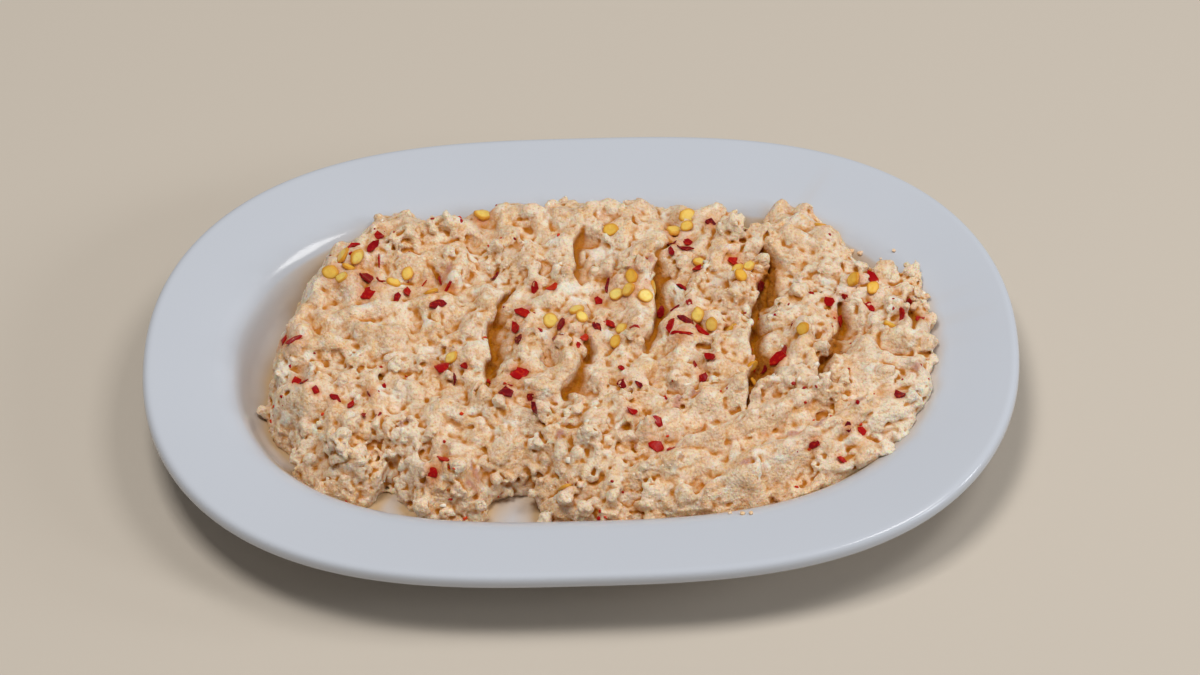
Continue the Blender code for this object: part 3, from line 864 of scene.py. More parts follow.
def streaked(points):
    """How much pepper shows at each point."""
    blush = np.zeros(len(points))
    for x, y, size, angle in STREAKS:
        turn = math.radians(angle)
        along = (points[:, 0] - x * MM) * math.cos(turn) + (points[:, 1] - y * MM) * math.sin(turn)
        across = (points[:, 1] - y * MM) * math.cos(turn) - (points[:, 0] - x * MM) * math.sin(turn)
        away = (along / (size * MM / 2)) ** 2 + (across / STREAK_WIDTH) ** 2
        blush = np.maximum(blush, np.exp(-away ** 1.5))
    return blush


def cheese_mesh(cheese, platter):
    """The dip's surface as a closed mesh, with what its material needs to know at each point."""
    points, faces = surface_of(cheese.depth, cheese.low, cheese.cell)
    points, faces = main_island(points, faces)
    distance, _ = edge_distance(points[:, 0], points[:, 1], cheese.line)
    resting = points[:, 2] - platter_top(points[:, 0], points[:, 1], platter) < 0.05 * MM
    hidden = resting & (distance > 3 * MM)
    faces = faces[~hidden[faces].all(axis=1)]
    mesh = bpy.data.meshes.new("whipped_cheese")
    mesh.from_pydata(points.tolist(), [], faces.tolist())
    near = cheese.openness(HOLLOW_REACH)
    relief = -cheese.at(cheese.form, points) / MM
    layers = np.ones(cheese.depth.shape[2])
    crumbly = cheese.at(cheese.rough[..., None] * layers, points)
    values = {
        "relief": relief,
        "paleness": cheese.at(cheese.paleness, points),
        "hollow": cheese.at(near, points),
        "blush": streaked(points),
        "stain": stained(points, cheese.line),
        "crumbly": crumbly * smooth_step((relief + 1.4) / 0.8),
        "peppered": smooth_step(3 * cheese.at(cheese.pepper[..., None] * layers, points)),
    }
    for name, value in values.items():
        store(mesh, name, value)
    close_underside(mesh)
    return mesh


def close_underside(mesh):
    """Closes the opening under the dip."""
    bm = bmesh.new()
    bm.from_mesh(mesh)
    drop_loose(bm)
    border = [edge for edge in bm.edges if edge.is_boundary]
    filled = bmesh.ops.holes_fill(bm, edges=border, sides=0)["faces"]
    filled = bmesh.ops.triangulate(bm, faces=filled)["faces"]
    bm.normal_update()
    for face in filled:
        if face.normal.z > 0:
            face.normal_flip()
    bm.to_mesh(mesh)
    bm.free()


# Chilli: shapes
def seed_shape(draw, name, collection):
    """A round flat seed with a raised rim, a plump middle and a small point where it hung."""
    bm = bmesh.new()
    edge_and_highlight_layer = bm.verts.layers.float.new("rim")
    section = ((0.0, 0.14), (0.17, 0.135), (0.30, 0.115), (0.40, 0.12), (0.465, 0.10), (0.50, 0.03))
    section += tuple((reach, -height) for reach, height in reversed(section))
    around = 16
    seed = Vector((draw.uniform(0, 9), draw.uniform(0, 9), 0))
    rings = []
    for reach, height in section:
        ring = []
        for k in range(around if reach else 1):
            angle = 2 * math.pi * k / around
            out = Vector((math.cos(angle), 0.9 * math.sin(angle), 0)) * reach
            out *= 1 + 0.14 * max(0, math.cos(angle)) ** 10 + 0.16 * noise.noise(3 * out + seed)
            vert = bm.verts.new((out.x, out.y, height * (1 + 0.5 * noise.noise(4 * out - seed))))
            # Painted highlight: 0 in the middle, 1 at the edge, so the seed's paler middle is partly a painted
            # highlight
            vert[edge_and_highlight_layer] = float(smooth_step((reach - 0.30) / 0.18))
            ring.append(vert)
        rings.append(ring)
    join_rings(bm, rings, around)
    return object_from(bm, name, collection)


def join_rings(bm, rings, around):
    """Joins rings of points in order; a ring of one point closes an end."""
    for lower, upper in zip(rings, rings[1:]):
        for k in range(around):
            corners = [lower[k % len(lower)], lower[(k + 1) % around % len(lower)]]
            corners += [upper[(k + 1) % around % len(upper)], upper[k % len(upper)]]
            bm.faces.new(list(dict.fromkeys(corners)))
    bmesh.ops.recalc_face_normals(bm, faces=bm.faces)


def flake_shape(draw, name, collection):
    """An angular chip of dried chilli, torn round its edge and slightly curled; one in five is a sliver."""
    bm = bmesh.new()
    sliver = draw.random() < 0.2
    narrow = 0.2 if sliver else 0.72
    corners = draw.randint(5, 8)
    angles = sorted((k + draw.uniform(-0.3, 0.3)) * 2 * math.pi / corners for k in range(corners))
    outline = []
    for angle in angles:
        reach = 0.5 * draw.uniform(0.72, 1.08)
        outline.append((reach * math.cos(angle) * (1.3 if sliver else 1), narrow * reach * math.sin(angle)))
    rings = ((0.0, 0.0), (0.55, 0.0), (0.93, 0.0), (1.0, 0.5), (0.93, 1.0), (0.55, 1.0), (0.0, 1.0))
    curl = draw.uniform(-0.9, 0.9)
    twist = draw.uniform(-0.6, 0.6)
    thickness = draw.uniform(0.07, 0.12)
    loops = []
    for share, level in rings:
        loop = []
        for x, y in outline if share else outline[:1]:
            px, py = x * share, y * share
            bow = curl * px * px + twist * px * py + 0.08 * noise.noise(Vector((5 * px, 5 * py, curl)))
            loop.append(bm.verts.new((px, py, bow + thickness * (level - 0.5))))
        loops.append(loop)
    join_rings(bm, loops, corners)
    return object_from(bm, name, collection)


def grain_shape(draw, name, collection):
    """A tiny angular crumb of twenty faces."""
    bm = bmesh.new()
    bmesh.ops.create_icosphere(bm, subdivisions=1, radius=0.5)
    squash = Vector((draw.uniform(0.8, 1.3), draw.uniform(0.7, 1.0), draw.uniform(0.45, 0.8)))
    for vert in bm.verts:
        vert.co = Vector(a * b for a, b in zip(vert.co, squash)) * draw.uniform(0.75, 1.15)
    return object_from(bm, name, collection)


def curd_shape(draw, name, collection):
    """A broken piece of white curd: flat broken sides with blunt corners, about thirty faces."""
    bm = bmesh.new()
    squash = Vector((draw.uniform(0.9, 1.3), draw.uniform(0.75, 1.0), draw.uniform(0.5, 0.75)))
    for _ in range(18):
        corner = Vector([draw.uniform(-1, 1) for _ in range(3)]).normalized() * draw.uniform(0.42, 0.56)
        bm.verts.new(Vector(a * b for a, b in zip(corner, squash)))
    bmesh.ops.convex_hull(bm, input=bm.verts)
    drop_loose(bm)
    bmesh.ops.recalc_face_normals(bm, faces=bm.faces)
    return object_from(bm, name, collection)


def variants(name, shape, count):
    """A collection of shapes of one kind, for a scatter to pick from."""
    collection = bpy.data.collections.new(name)
    bpy.context.scene.collection.children.link(collection)
    draw = random.Random(name)
    for number in range(count):
        shape(draw, f"{name}_{number:02d}", collection)
    return collection


# Chilli: where it falls
def sprinkle_places(line):
    """Where each seed and flake falls: its kind, its place and its own random draw."""
    taken = []
    for number, (x, y, spread, seeds, flakes) in enumerate(SPRINKLES):
        for kind in ["seed"] * seeds + ["flake"] * flakes:
            draw = random.Random(100 * number + len(taken))
            for _ in range(SPRINKLE_TRIES):
                place = Vector((draw.gauss(x, spread / 2), draw.gauss(y, spread / 2))) * MM
                inside = edge_distance(np.array(place.x), np.array(place.y), line)[0] > SPRINKLE_EDGE
                if inside and all((place - other[1]).length > SPRINKLE_SPACING for other in taken):
                    taken.append((kind, place, draw))
                    break
    return taken


def seat(tree, place, reach):
    """Where something this wide comes to rest when dropped on the dip, and the way it then faces."""
    offsets = []
    for number in range(SEAT_POINTS):
        offset = Vector((reach, 0))
        offset.rotate(Matrix.Rotation(number * 2 * math.pi / SEAT_POINTS, 2))
        offsets.append(offset)
    hits = []
    for offset in (*offsets, Vector((0, 0))):
        hit = tree.ray_cast(Vector((*(place + offset), 2 * cad_high.z)), Vector((0, 0, -1)))[0]
        if hit:
            hits.append(hit)
    middle = sum(hits, Vector()) / len(hits)
    spread = np.array(hits) - np.array(middle)
    normal = Vector(np.linalg.svd(spread)[2][-1])
    if normal.z < 0:
        normal.negate()
    top = max((hit - middle).dot(normal) for hit in hits)
    return middle + normal * top * 0.6, normal


def scatter_points(name, rows):
    """A mesh of bare points with the turn, size, pick and shade of what is set on each."""
    mesh = bpy.data.meshes.new(name)
    mesh.from_pydata([row["point"] for row in rows], [], [])
    kinds = {"turn": "FLOAT_VECTOR", "size": "FLOAT_VECTOR", "pick": "INT", "shade": "FLOAT"}
    for key, kind in kinds.items():
        store(mesh, key, [row[key] for row in rows], kind)
    return mesh_object(name, mesh)


def new_tree(name, inputs):
    """A geometry nodes tree with these inputs beside its geometry, and one output."""
    tree = bpy.data.node_groups.new(name, "GeometryNodeTree")
    for label, kind, default in (("Geometry", "Geometry", None), *inputs):
        made = tree.interface.new_socket(label, in_out="INPUT", socket_type=f"NodeSocket{kind}")
        if default is not None:
            made.default_value = default
    tree.interface.new_socket("Geometry", in_out="OUTPUT", socket_type="NodeSocketGeometry")
    return tree, add(tree, "NodeGroupInput").outputs


def set_pieces(tree, given, points, inputs, value=None):
    """Ends a tree: sets pieces on its points, turns them into real mesh and gives them their material. value
    is a random value that each piece takes with it."""
    pieces = add(
        tree, "GeometryNodeCollectionInfo",
        {"Collection": given["Pieces"], "Separate Children": True, "Reset Children": True},
    )
    placed = add(
        tree, "GeometryNodeInstanceOnPoints",
        {"Points": points, "Instance": pieces.outputs["Instances"], "Pick Instance": True, **inputs},
    ).outputs["Instances"]
    if value:
        placed = add(
            tree, "GeometryNodeStoreNamedAttribute",
            {"Geometry": placed, "Name": given["Value name"], "Value": value},
            data_type="FLOAT", domain="INSTANCE",
        ).outputs["Geometry"]
    real = add(tree, "GeometryNodeRealizeInstances", {"Geometry": placed}).outputs["Geometry"]
    dressed = add(tree, "GeometryNodeSetMaterial", {"Geometry": real, "Material": given["Material"]})
    add(tree, "NodeGroupOutput", {"Geometry": dressed.outputs["Geometry"]})


def placed_tree():
    """Geometry nodes that set a picked piece on each point, as its turn and size say."""
    tree, given = new_tree("Set pieces on points", (
        ("Pieces", "Collection", None),
        ("Scale", "Float", 1.0),
        ("Material", "Material", None),
    ))
    points = add(tree, "GeometryNodeMeshToPoints", {"Mesh": given["Geometry"]})
    turn, size, pick = (
        add(tree, "GeometryNodeInputNamedAttribute", {"Name": name}, data_type=kind).outputs["Attribute"]
        for name, kind in (("turn", "FLOAT_VECTOR"), ("size", "FLOAT_VECTOR"), ("pick", "INT"))
    )
    rotation = add(tree, "FunctionNodeEulerToRotation", {"Euler": turn}).outputs["Rotation"]
    scale = add(tree, "ShaderNodeVectorMath", {"Vector": size, "Scale": given["Scale"]}, operation="SCALE")
    inputs = {"Instance Index": pick, "Rotation": rotation, "Scale": scale.outputs["Vector"]}
    set_pieces(tree, given, points.outputs["Points"], inputs)
    return tree


def scattered_tree():
    """Geometry nodes that scatter small pieces over a mesh, thicker where the named attribute says, each with
    a random value of its own for the material."""
    tree, given = new_tree("Scatter pieces on a surface", (
        ("Surface", "Object", None),
        ("Pieces", "Collection", None),
        ("Density", "Float", 10000.0),
        ("Thicker by", "String", "crumbly"),
        ("Smallest", "Float", 0.4 * MM),
        ("Largest", "Float", 1.1 * MM),
        ("Sink", "Float", 0.1 * MM),
        ("Value name", "String", "shade"),
        ("Lowest value", "Float", 0.0),
        ("Highest value", "Float", 1.0),
        ("Seed", "Int", 1),
        ("Material", "Material", None),
    ))
    surface = add(tree, "GeometryNodeObjectInfo", {"Object": given["Surface"]}).outputs["Geometry"]
    thicker = add(tree, "GeometryNodeInputNamedAttribute", {"Name": given["Thicker by"]}, data_type="FLOAT")
    density = {0: thicker.outputs["Attribute"], 1: given["Density"]}
    often = add(tree, "ShaderNodeMath", density, operation="MULTIPLY").outputs["Value"]
    facing = add(tree, "GeometryNodeInputNormal").outputs["Normal"]
    height = add(tree, "ShaderNodeSeparateXYZ", {"Vector": facing}).outputs["Z"]
    upward = add(tree, "FunctionNodeCompare", {"A": height, "B": LEAST_UPWARD}, operation="GREATER_THAN")
    spread = add(
        tree, "GeometryNodeDistributePointsOnFaces",
        {"Mesh": surface, "Selection": upward.outputs["Result"], "Density": often, "Seed": given["Seed"]},
    )
    inward = add(tree, "ShaderNodeMath", {0: given["Sink"], 1: -1.0}, operation="MULTIPLY").outputs["Value"]
    along = {"Vector": spread.outputs["Normal"], "Scale": inward}
    sink = add(tree, "ShaderNodeVectorMath", along, operation="SCALE").outputs["Vector"]
    sunk = add(tree, "GeometryNodeSetPosition", {"Geometry": spread.outputs["Points"], "Offset": sink})
    size, value = (
        add(
            tree, "FunctionNodeRandomValue", {"Min": given[low], "Max": given[high], "Seed": seed},
            data_type="FLOAT",
        ).outputs[1]
        for low, high, seed in (("Smallest", "Largest", 3), ("Lowest value", "Highest value", 5))
    )
    whole_turn = {"Max": (2 * math.pi,) * 3, "Seed": 4}
    turn = add(tree, "FunctionNodeRandomValue", whole_turn, data_type="FLOAT_VECTOR").outputs[0]
    rotation = add(tree, "FunctionNodeEulerToRotation", {"Euler": turn}).outputs["Rotation"]
    set_pieces(tree, given, sunk.outputs["Geometry"], {"Rotation": rotation, "Scale": size}, value)
    return tree


def run_tree(thing, tree, pieces, values):
    """Runs geometry nodes on a piece with these shapes to pick from and these inputs. Keeps the result as
    plain mesh, and drops the shapes."""
    values["Pieces"] = pieces
    modifier = thing.modifiers.new(tree.name, "NODES")
    modifier.node_group = tree
    for item in tree.interface.items_tree:
        if item.in_out == "INPUT" and item.name in values:
            modifier[item.identifier] = values[item.name]
    realised(thing)
    for shape in list(pieces.objects):
        bpy.data.objects.remove(shape, do_unlink=True)
    bpy.data.collections.remove(pieces)


# Materials
def glazed_porcelain(settings):
    """Glazed porcelain: a white body under clear glaze, cool in tone, with soft sharp-edged reflections. Its
    cool blue is partly painted, standing in for the bluish daylight that the glaze reflects. The foot ring is
    bare, dry and warmer. A little oil from the dip stains the glaze beside it, and painted shade darkens and
    warms the well's lower wall next to the dip, for the dip's shadow and its warm reflection."""
    made, tree, place = new_material("Glazed porcelain")
    drift, wear, ripple = (
        add(tree, "ShaderNodeTexNoise", {"Vector": place, "Scale": 1 / size, "Detail": detail}).outputs[0]
        for size, detail in ((60 * MM, 2.0), (9 * MM, 4.0), (7 * MM, 1.0))
    )
    oil = add(tree, "ShaderNodeAttribute", attribute_name="oil").outputs["Fac"]
    height = add(tree, "ShaderNodeSeparateXYZ", {"Vector": place}).outputs["Z"]
    colour = layered(tree, settings.glaze_colour, (
        (drift, 0, 1, 1, settings.glaze_shade),
        # The oil mask is partly a thin oil film, partly painted shade and warm reflection beside the dip
        (oil, 0, 1, 1, settings.oil_stain_and_shade),
        (height, GLAZE_STOPS, BARE_BELOW, 1, settings.bare_colour),
    ))
    dry = {"Value": height, "From Min": GLAZE_STOPS, "From Max": BARE_BELOW}
    bare = add(tree, "ShaderNodeMapRange", dry).outputs[0]
    polish = add(tree, "ShaderNodeMapRange", {"Value": wear, "To Min": 0.10, "To Max": 0.20}).outputs[0]
    rough = add(tree, "ShaderNodeMix", {"Factor": bare, "A": polish, "B": 0.8}, data_type="FLOAT").outputs[0]
    bump = add(tree, "ShaderNodeBump", {"Strength": 0.35, "Distance": 0.05 * MM, "Height": ripple}).outputs[0]
    shaded(tree, {"Base Color": colour, "Roughness": rough, "IOR": 1.5, "Normal": bump})
    return made


def cheese_colour(tree, place, settings):
    """Pinkish beige where the cheese is smeared, creamy on its curds, stained orange beside the chilli, white
    on whole curds, and amber in its hollows and slits: partly oil, partly painted shade that darkens and
    warms them."""
    paleness, relief, stain, blush, hollow = (
        add(tree, "ShaderNodeAttribute", attribute_name=name).outputs["Fac"]
        for name in ("paleness", "relief", "stain", "blush", "hollow")
    )
    mottle, fine = (
        add(tree, "ShaderNodeTexNoise", {"Vector": place, "Scale": 1 / (size * MM), "Detail": 4.0}).outputs[0]
        for size in (2.4, 0.7)
    )
    return layered(tree, settings.spread_colour, (
        (mottle, 0.38, 0.62, 1, settings.warm_colour),
        (paleness, 0.25, 0.6, 1, settings.curd_colour),
        (fine, 0.5, 0.7, 0.8, settings.curd_colour),
        (relief, 0.3, 1.6, 0.5, settings.curd_colour),
        (stain, 0.1, 0.8, 0.85, settings.stain_colour),
        (blush, 0.15, 0.8, 0.6, settings.pepper_colour),
        (fine, 0.45, 0.3, 0.55, settings.oil_and_shade_colour),
        (paleness, 0.72, 0.9, 0.85, settings.white_colour),
        # Painted shade: concave places turn amber and darker, partly oil pooled there, partly the shade and
        # warm bounced light in the hollows
        (hollow, 0.51, 0.64, 0.95, settings.oil_and_shade_colour),
        (hollow, 0.59, 0.73, 0.95, settings.deep_oil_and_shade_colour),
        # Painted shade: low in the slits the colour turns deep amber, partly oil, partly the shade down there
        (relief, -0.9, -2.6, 0.95, settings.deep_oil_and_shade_colour),
    ))


def whipped_cheese(settings):
    """Whipped brined cheese with pepper. It is moist, so light goes a little way in and its sheen is soft
    and broken. Its grain of 1 mm is drawn as bump."""
    made, tree, place = new_material("Whipped spicy cheese")
    wet = add(tree, "ShaderNodeTexNoise", {"Vector": place, "Scale": 1 / (4 * MM), "Detail": 2.0})
    moist = add(
        tree, "ShaderNodeMapRange",
        {"Value": wet.outputs[0], "From Min": 0.3, "From Max": 0.7, "To Min": 0.38, "To Max": 0.62},
    )
    grain = add(
        tree, "ShaderNodeTexNoise",
        {"Vector": place, "Scale": 1 / (1.1 * MM), "Detail": 5.0, "Roughness": 0.62},
    )
    broken = add(tree, "ShaderNodeTexNoise", {"Vector": place, "Scale": 1 / (1.6 * MM), "Detail": 2.0})
    push = {"Vector": broken.outputs["Color"], "Scale": 1.2 * MM}
    pushed = add(tree, "ShaderNodeVectorMath", push, operation="SCALE")
    shifted = add(tree, "ShaderNodeVectorMath", {0: place, 1: pushed.outputs[0]}, operation="ADD")
    curds = add(tree, "ShaderNodeTexVoronoi", {"Vector": shifted.outputs[0], "Scale": 1 / (0.95 * MM)})
    soft = add(tree, "ShaderNodeBump", {"Strength": 1.0, "Distance": 0.7 * MM, "Height": grain.outputs[0]})
    edges = {"Height": curds.outputs["Distance"], "Normal": soft.outputs["Normal"]}
    bump = add(tree, "ShaderNodeBump", {"Strength": 0.6, "Distance": 0.4 * MM, **edges}, invert=True)
    shaded(tree, {
        "Base Color": cheese_colour(tree, place, settings), "Roughness": moist.outputs[0], "IOR": 1.4,
        "Subsurface Weight": 0.4, "Subsurface Radius": (1.0, 0.45, 0.15), "Subsurface Scale": 1.0 * MM,
        "Normal": bump.outputs[0],
    })
    return made


def crumbled_cheese(settings):
    """Crumbled cheese: loose grains in the colours of the dip, and drier than it."""
    made, tree, place = new_material("Crumbled cheese")
    shaded(tree, {"Base Color": cheese_colour(tree, place, settings), "Roughness": 0.6, "IOR": 1.35})
    return made


def white_curd(settings):
    """White curd: a broken piece of brined cheese that took no colour, matt and slightly damp."""
    made, tree, place = new_material("White curd")
    blotches = add(tree, "ShaderNodeTexNoise", {"Vector": place, "Scale": 1 / (1.3 * MM), "Detail": 3.0})
    colour = layered(tree, settings.white_colour, ((blotches.outputs[0], 0.5, 0.8, 1, settings.curd_colour),))
    shaded(tree, {"Base Color": colour, "Roughness": 0.5, "IOR": 1.4})
    return made


def chilli_seed(settings):
    """Chilli seed: a thin glossy skin over a pale starchy middle, deeper amber round its edge. The pale middle
    is partly painted highlight.
    """
    made, tree, place = new_material("Chilli seed")
    shade, rim = (
        add(tree, "ShaderNodeAttribute", attribute_name=name).outputs["Fac"] for name in ("shade", "rim")
    )
    mottled = {"Vector": place, "Scale": 1 / (0.9 * MM), "Detail": 3.0}
    skin = add(tree, "ShaderNodeTexNoise", mottled).outputs[0]
    colour = layered(tree, settings.seed_colour, (
        (shade, 0, 1, 1, settings.seed_amber),
        # Painted highlight: the seed darkens toward its edge, and its pale middle stands partly for a
        # highlight
        (rim, 0, 1, 0.85, settings.seed_edge),
        (skin, 0.5, 1, 0.4, settings.seed_edge),
    ))
    bump = add(tree, "ShaderNodeBump", {"Strength": 0.6, "Distance": 0.2 * MM, "Height": skin}).outputs[0]
    shaded(tree, {
        "Base Color": colour, "Roughness": 0.32, "IOR": 1.4, "Subsurface Weight": 0.5,
        "Subsurface Radius": (1.0, 0.7, 0.2), "Subsurface Scale": 1.0 * MM, "Normal": bump,
    })
    return made


def dried_chilli(settings):
    """Dried chilli skin, oiled: dark translucent red with a wet gloss, brighter orange where it is thin."""
    made, tree, place = new_material("Dried chilli skin")
    shade = add(tree, "ShaderNodeAttribute", attribute_name="shade").outputs["Fac"]
    streaky = {"Vector": place, "Scale": 1 / (0.9 * MM), "Detail": 3.0}
    veins = add(tree, "ShaderNodeTexNoise", streaky).outputs[0]
    colour = layered(tree, settings.flake_dark, (
        (shade, 0.05, 0.4, 1, settings.flake_colour),
        (shade, 0.7, 1, 1, settings.flake_bright),
        (veins, 0.52, 0.7, 0.5, settings.flake_bright),
    ))
    bump = add(tree, "ShaderNodeBump", {"Strength": 0.5, "Distance": 0.15 * MM, "Height": veins}).outputs[0]
    shaded(tree, {
        "Base Color": colour, "Roughness": 0.3, "IOR": 1.27, "Subsurface Weight": 0.2,
        "Subsurface Radius": (1.0, 0.15, 0.05), "Subsurface Scale": 0.5 * MM, "Normal": bump,
    })
    return made


def matte_paint(settings):
    """Matte studio floor: even and pale, with no shine of its own."""
    made, tree, _ = new_material("Matte studio floor")
    shaded(tree, {"Base Color": (*settings.floor_colour, 1), "Roughness": 0.9})
    return made


# Settings
class PlatterSettings(bpy.types.PropertyGroup):
    length: size_setting("Length", "Outer length of the rim", (platter_high.x - platter_low.x) / MM)
    width: size_setting("Width", "Outer width of the rim", 165)
    height: size_setting("Height", "Height of the lip", (platter_high.z - platter_low.z) / MM)
    rim_width: size_setting("Rim width", "From the lip to the well", 24.5)
    rim_drop: size_setting("Rim drop", "How far the rim falls from the lip to the well", 4.1)
    # The glaze's cool blue is partly its own tint, partly painted: the bluish daylight that the rim reflects
    glaze_colour: colour_setting("Glaze", "Colour of the glaze", "#C9CFDA")
    glaze_shade: colour_setting("Glaze shade", "Slightly darker glaze that it drifts to", "#C5CBD6")
    bare_colour: colour_setting("Bare foot", "Unglazed foot ring", "#D9D2C6")
    # Partly an oil stain, partly painted shade and warm reflection of the dip on the well wall
    oil_stain_and_shade: colour_setting("Oil stain", "Glaze under a film of oil", "#C6AA84")


class DipSettings(bpy.types.PropertyGroup):
    cell: size_setting("Cell", "Cell size of the grid the dip is grown on", 0.45)
    top_height: size_setting("Top height", "Height of the spooned top", 23.8)
    lumps: bpy.props.IntProperty(name="Lumps", description="Single lumps of 2 to 5 mm", default=330)
    pits: bpy.props.IntProperty(name="Pits", description="Long pits between the curds", default=90)
    grains: number_setting("Grains", "Loose grains on a square metre where it is most torn", 150000)
    whites: number_setting("White curds", "White curds on a square metre where it is most torn", 3600)
    spread_colour: colour_setting("Smeared cheese", "Where the spoon smeared it", "#E9C8A9")
    warm_colour: colour_setting("Warm cheese", "Where it holds more pepper", "#F1CA9A")
    curd_colour: colour_setting("Curd", "Crest of a curd", "#F8E6CD")
    white_colour: colour_setting("White curd", "Whole curd that took no colour", "#F7F1E2")
    stain_colour: colour_setting("Stain", "Chilli oil that soaked in beside seeds and flakes", "#DE8038")
    pepper_colour: colour_setting("Pepper", "Streaks of pepper", "#B86A6A")
    # The two oil colours below are partly oil and partly painted shade for the hollows and slits
    oil_and_shade_colour: colour_setting("Oil", "Oil in the small hollows", "#D0862C")
    deep_oil_and_shade_colour: colour_setting("Deep oil", "Oil in the slits", "#B46C00")


class ChilliSettings(bpy.types.PropertyGroup):
    seed_width: size_setting("Seed width", "Usual width of a seed", 4.4)
    flake_length: size_setting("Flake length", "Usual length of a flake", 5.0)
    specks: number_setting("Specks", "Specks on a square metre where they are thickest", 9000)
    # The pale seed colour fills the seed's middle and is partly painted highlight
    seed_colour: colour_setting("Seed", "Pale seed", "#FBE486")
    seed_amber: colour_setting("Amber seed", "Ripe seed", "#EDB436")
    seed_edge: colour_setting("Seed edge", "Edge and stained parts of a seed", "#D08A16")
    flake_dark: colour_setting("Dark flake", "Thick dried skin", "#6E0E1A")
    flake_colour: colour_setting("Flake", "Most of the dried skin", "#A40A10")
    flake_bright: colour_setting("Bright flake", "Thin skin and flesh", "#DC4418")


class StudioSettings(bpy.types.PropertyGroup):
    floor_colour: colour_setting("Floor", "Colour of the floor", "#CDC4B8")
    key_power: number_setting("Key light", "Power of the large soft light", 10.9)
    ceiling_power: number_setting("Ceiling light", "Power of the light overhead", 5.4)
    window_power: number_setting("Window light", "Power of each light on the right", 3.7)
    room_light: number_setting("Room light", "Strength of the even room light", 0.165)


# Operators
class DIP_OT_platter(bpy.types.Operator):
    """Makes the glazed oval platter"""

    bl_idname = "dip.platter"
    bl_label = "Oval platter"

    def execute(self, context):
        settings = context.scene.platter
        angles = even_angles(settings)
        bm = bmesh.new()
        rings = []
        for inset, height in platter_section(settings):
            rings.append([bm.verts.new((x, y, height)) for x, y in oval(angles, inset, settings)])
        for inner, outer in zip(rings, rings[1:]):
            for k in range(PLATTER_SEGMENTS):
                after = (k + 1) % PLATTER_SEGMENTS
                bm.faces.new((inner[k], outer[k], outer[after], inner[after]))
        bm.faces.new(rings[0])
        bm.faces.new(list(reversed(rings[-1])))
        bmesh.ops.recalc_face_normals(bm, faces=bm.faces)
        piece = object_from(bm, "porcelain_platter")
        self.stain(piece.data)
        piece.data.materials.append(glazed_porcelain(settings))
        set_down(piece, PLATTER_NODE)
        return {"FINISHED"}

    def stain(self, mesh):
        """Marks a thin film of oil on the glaze along the dip's edge, and painted shade on the well's lower
        wall beside the dip, for the dip's shadow and its warm reflection.
        """
        places = np.zeros(3 * len(mesh.vertices))
        mesh.vertices.foreach_get("co", places)
        x, y, z = places.reshape(-1, 3).T
        distance, _ = edge_distance(x, y, dip_outline())
        ragged = np.array([noise.noise(Vector((a, b, 0)) / (6 * MM)) for a, b in zip(x, y)])
        reach = (1.8 + 1.6 * ragged) * MM
        outside = np.minimum(distance, 0)
        film_and_shade = 0.4 * np.exp(-(outside / reach) ** 2)
        # Painted shade: a wider, darker band on the well's lower wall beside the dip, for its shadow and warm
        # reflection
        film_and_shade += 0.65 * np.exp(-(outside / (6 * MM)) ** 2) * (z < WELL_SHADE_LEVEL)
        film_and_shade *= z > FLOOR_HEIGHT - MM
        store(mesh, "oil", film_and_shade)


class DIP_OT_cheese(bpy.types.Operator):
    """Grows the whipped cheese dip"""

    bl_idname = "dip.cheese"
    bl_label = "Cheese dip"

    def execute(self, context):
        cheese = grow_cheese(context.scene.dip, context.scene.platter)
        piece = mesh_object("whipped_cheese", cheese_mesh(cheese, context.scene.platter))
        thinned = piece.modifiers.new("Thin out", "DECIMATE")
        thinned.ratio = MOST_TRIANGLES / (2 * len(piece.data.polygons))
        realised(piece)
        piece.data.materials.append(whipped_cheese(context.scene.dip))
        set_down(piece, DIP_NODE)
        return {"FINISHED"}


class DIP_OT_sprinkle(bpy.types.Operator):
    """Sprinkles the chilli seeds and flakes on the dip"""

    bl_idname = "dip.sprinkle"
    bl_label = "Chilli seeds and flakes"

    def execute(self, context):
        settings = context.scene.chilli
        graph = context.evaluated_depsgraph_get()
        tree = BVHTree.FromObject(bpy.data.objects["whipped_cheese"], graph)
        rows = {"seed": [], "flake": []}
        for kind, place, draw in sprinkle_places(dip_outline()):
            point, normal = seat(tree, place, SPRINKLE_REACH)
            if kind == "seed":
                wide = settings.seed_width * draw.uniform(0.85, 1.12)
                size = (wide, wide, wide * draw.uniform(0.9, 1.2))
                rise = draw.uniform(-0.35, 0.45) * MM
                lean = draw.gauss(0, 0.2)
            else:
                long = settings.flake_length * draw.uniform(0.6, 1.3)
                size = (long, long * draw.uniform(0.6, 1.15), long)
                rise = draw.uniform(-0.1, 0.35) * MM
                lean = draw.gauss(0, 0.22)
            facing = normal.to_track_quat("Z", "Y").to_matrix()
            spin = Matrix.Rotation(draw.uniform(0, 2 * math.pi), 3, "Z")
            tip = Matrix.Rotation(lean, 3, "X")
            rows[kind].append({
                "point": point + normal * rise,
                "turn": tuple((facing @ spin @ tip).to_euler()),
                "size": size,
                "pick": draw.randrange(100),
                "shade": 0.85 * draw.random(),
            })
        nodes = placed_tree()
        kinds = (
            ("chilli_seeds", rows["seed"], seed_shape, 8, chilli_seed, "chilli_seed"),
            ("chilli_flakes", rows["flake"], flake_shape, 18, dried_chilli, "chilli_flake"),
        )
        for name, points, shape, count, dress, slot in kinds:
            for row in points:
                row["pick"] %= count
            pieces = variants(slot, shape, count)
            piece = scatter_points(name, points)
            run_tree(piece, nodes, pieces, {"Material": dress(settings)})
            set_down(piece, DIP_NODE, crisp=name == "chilli_flakes")
        return {"FINISHED"}


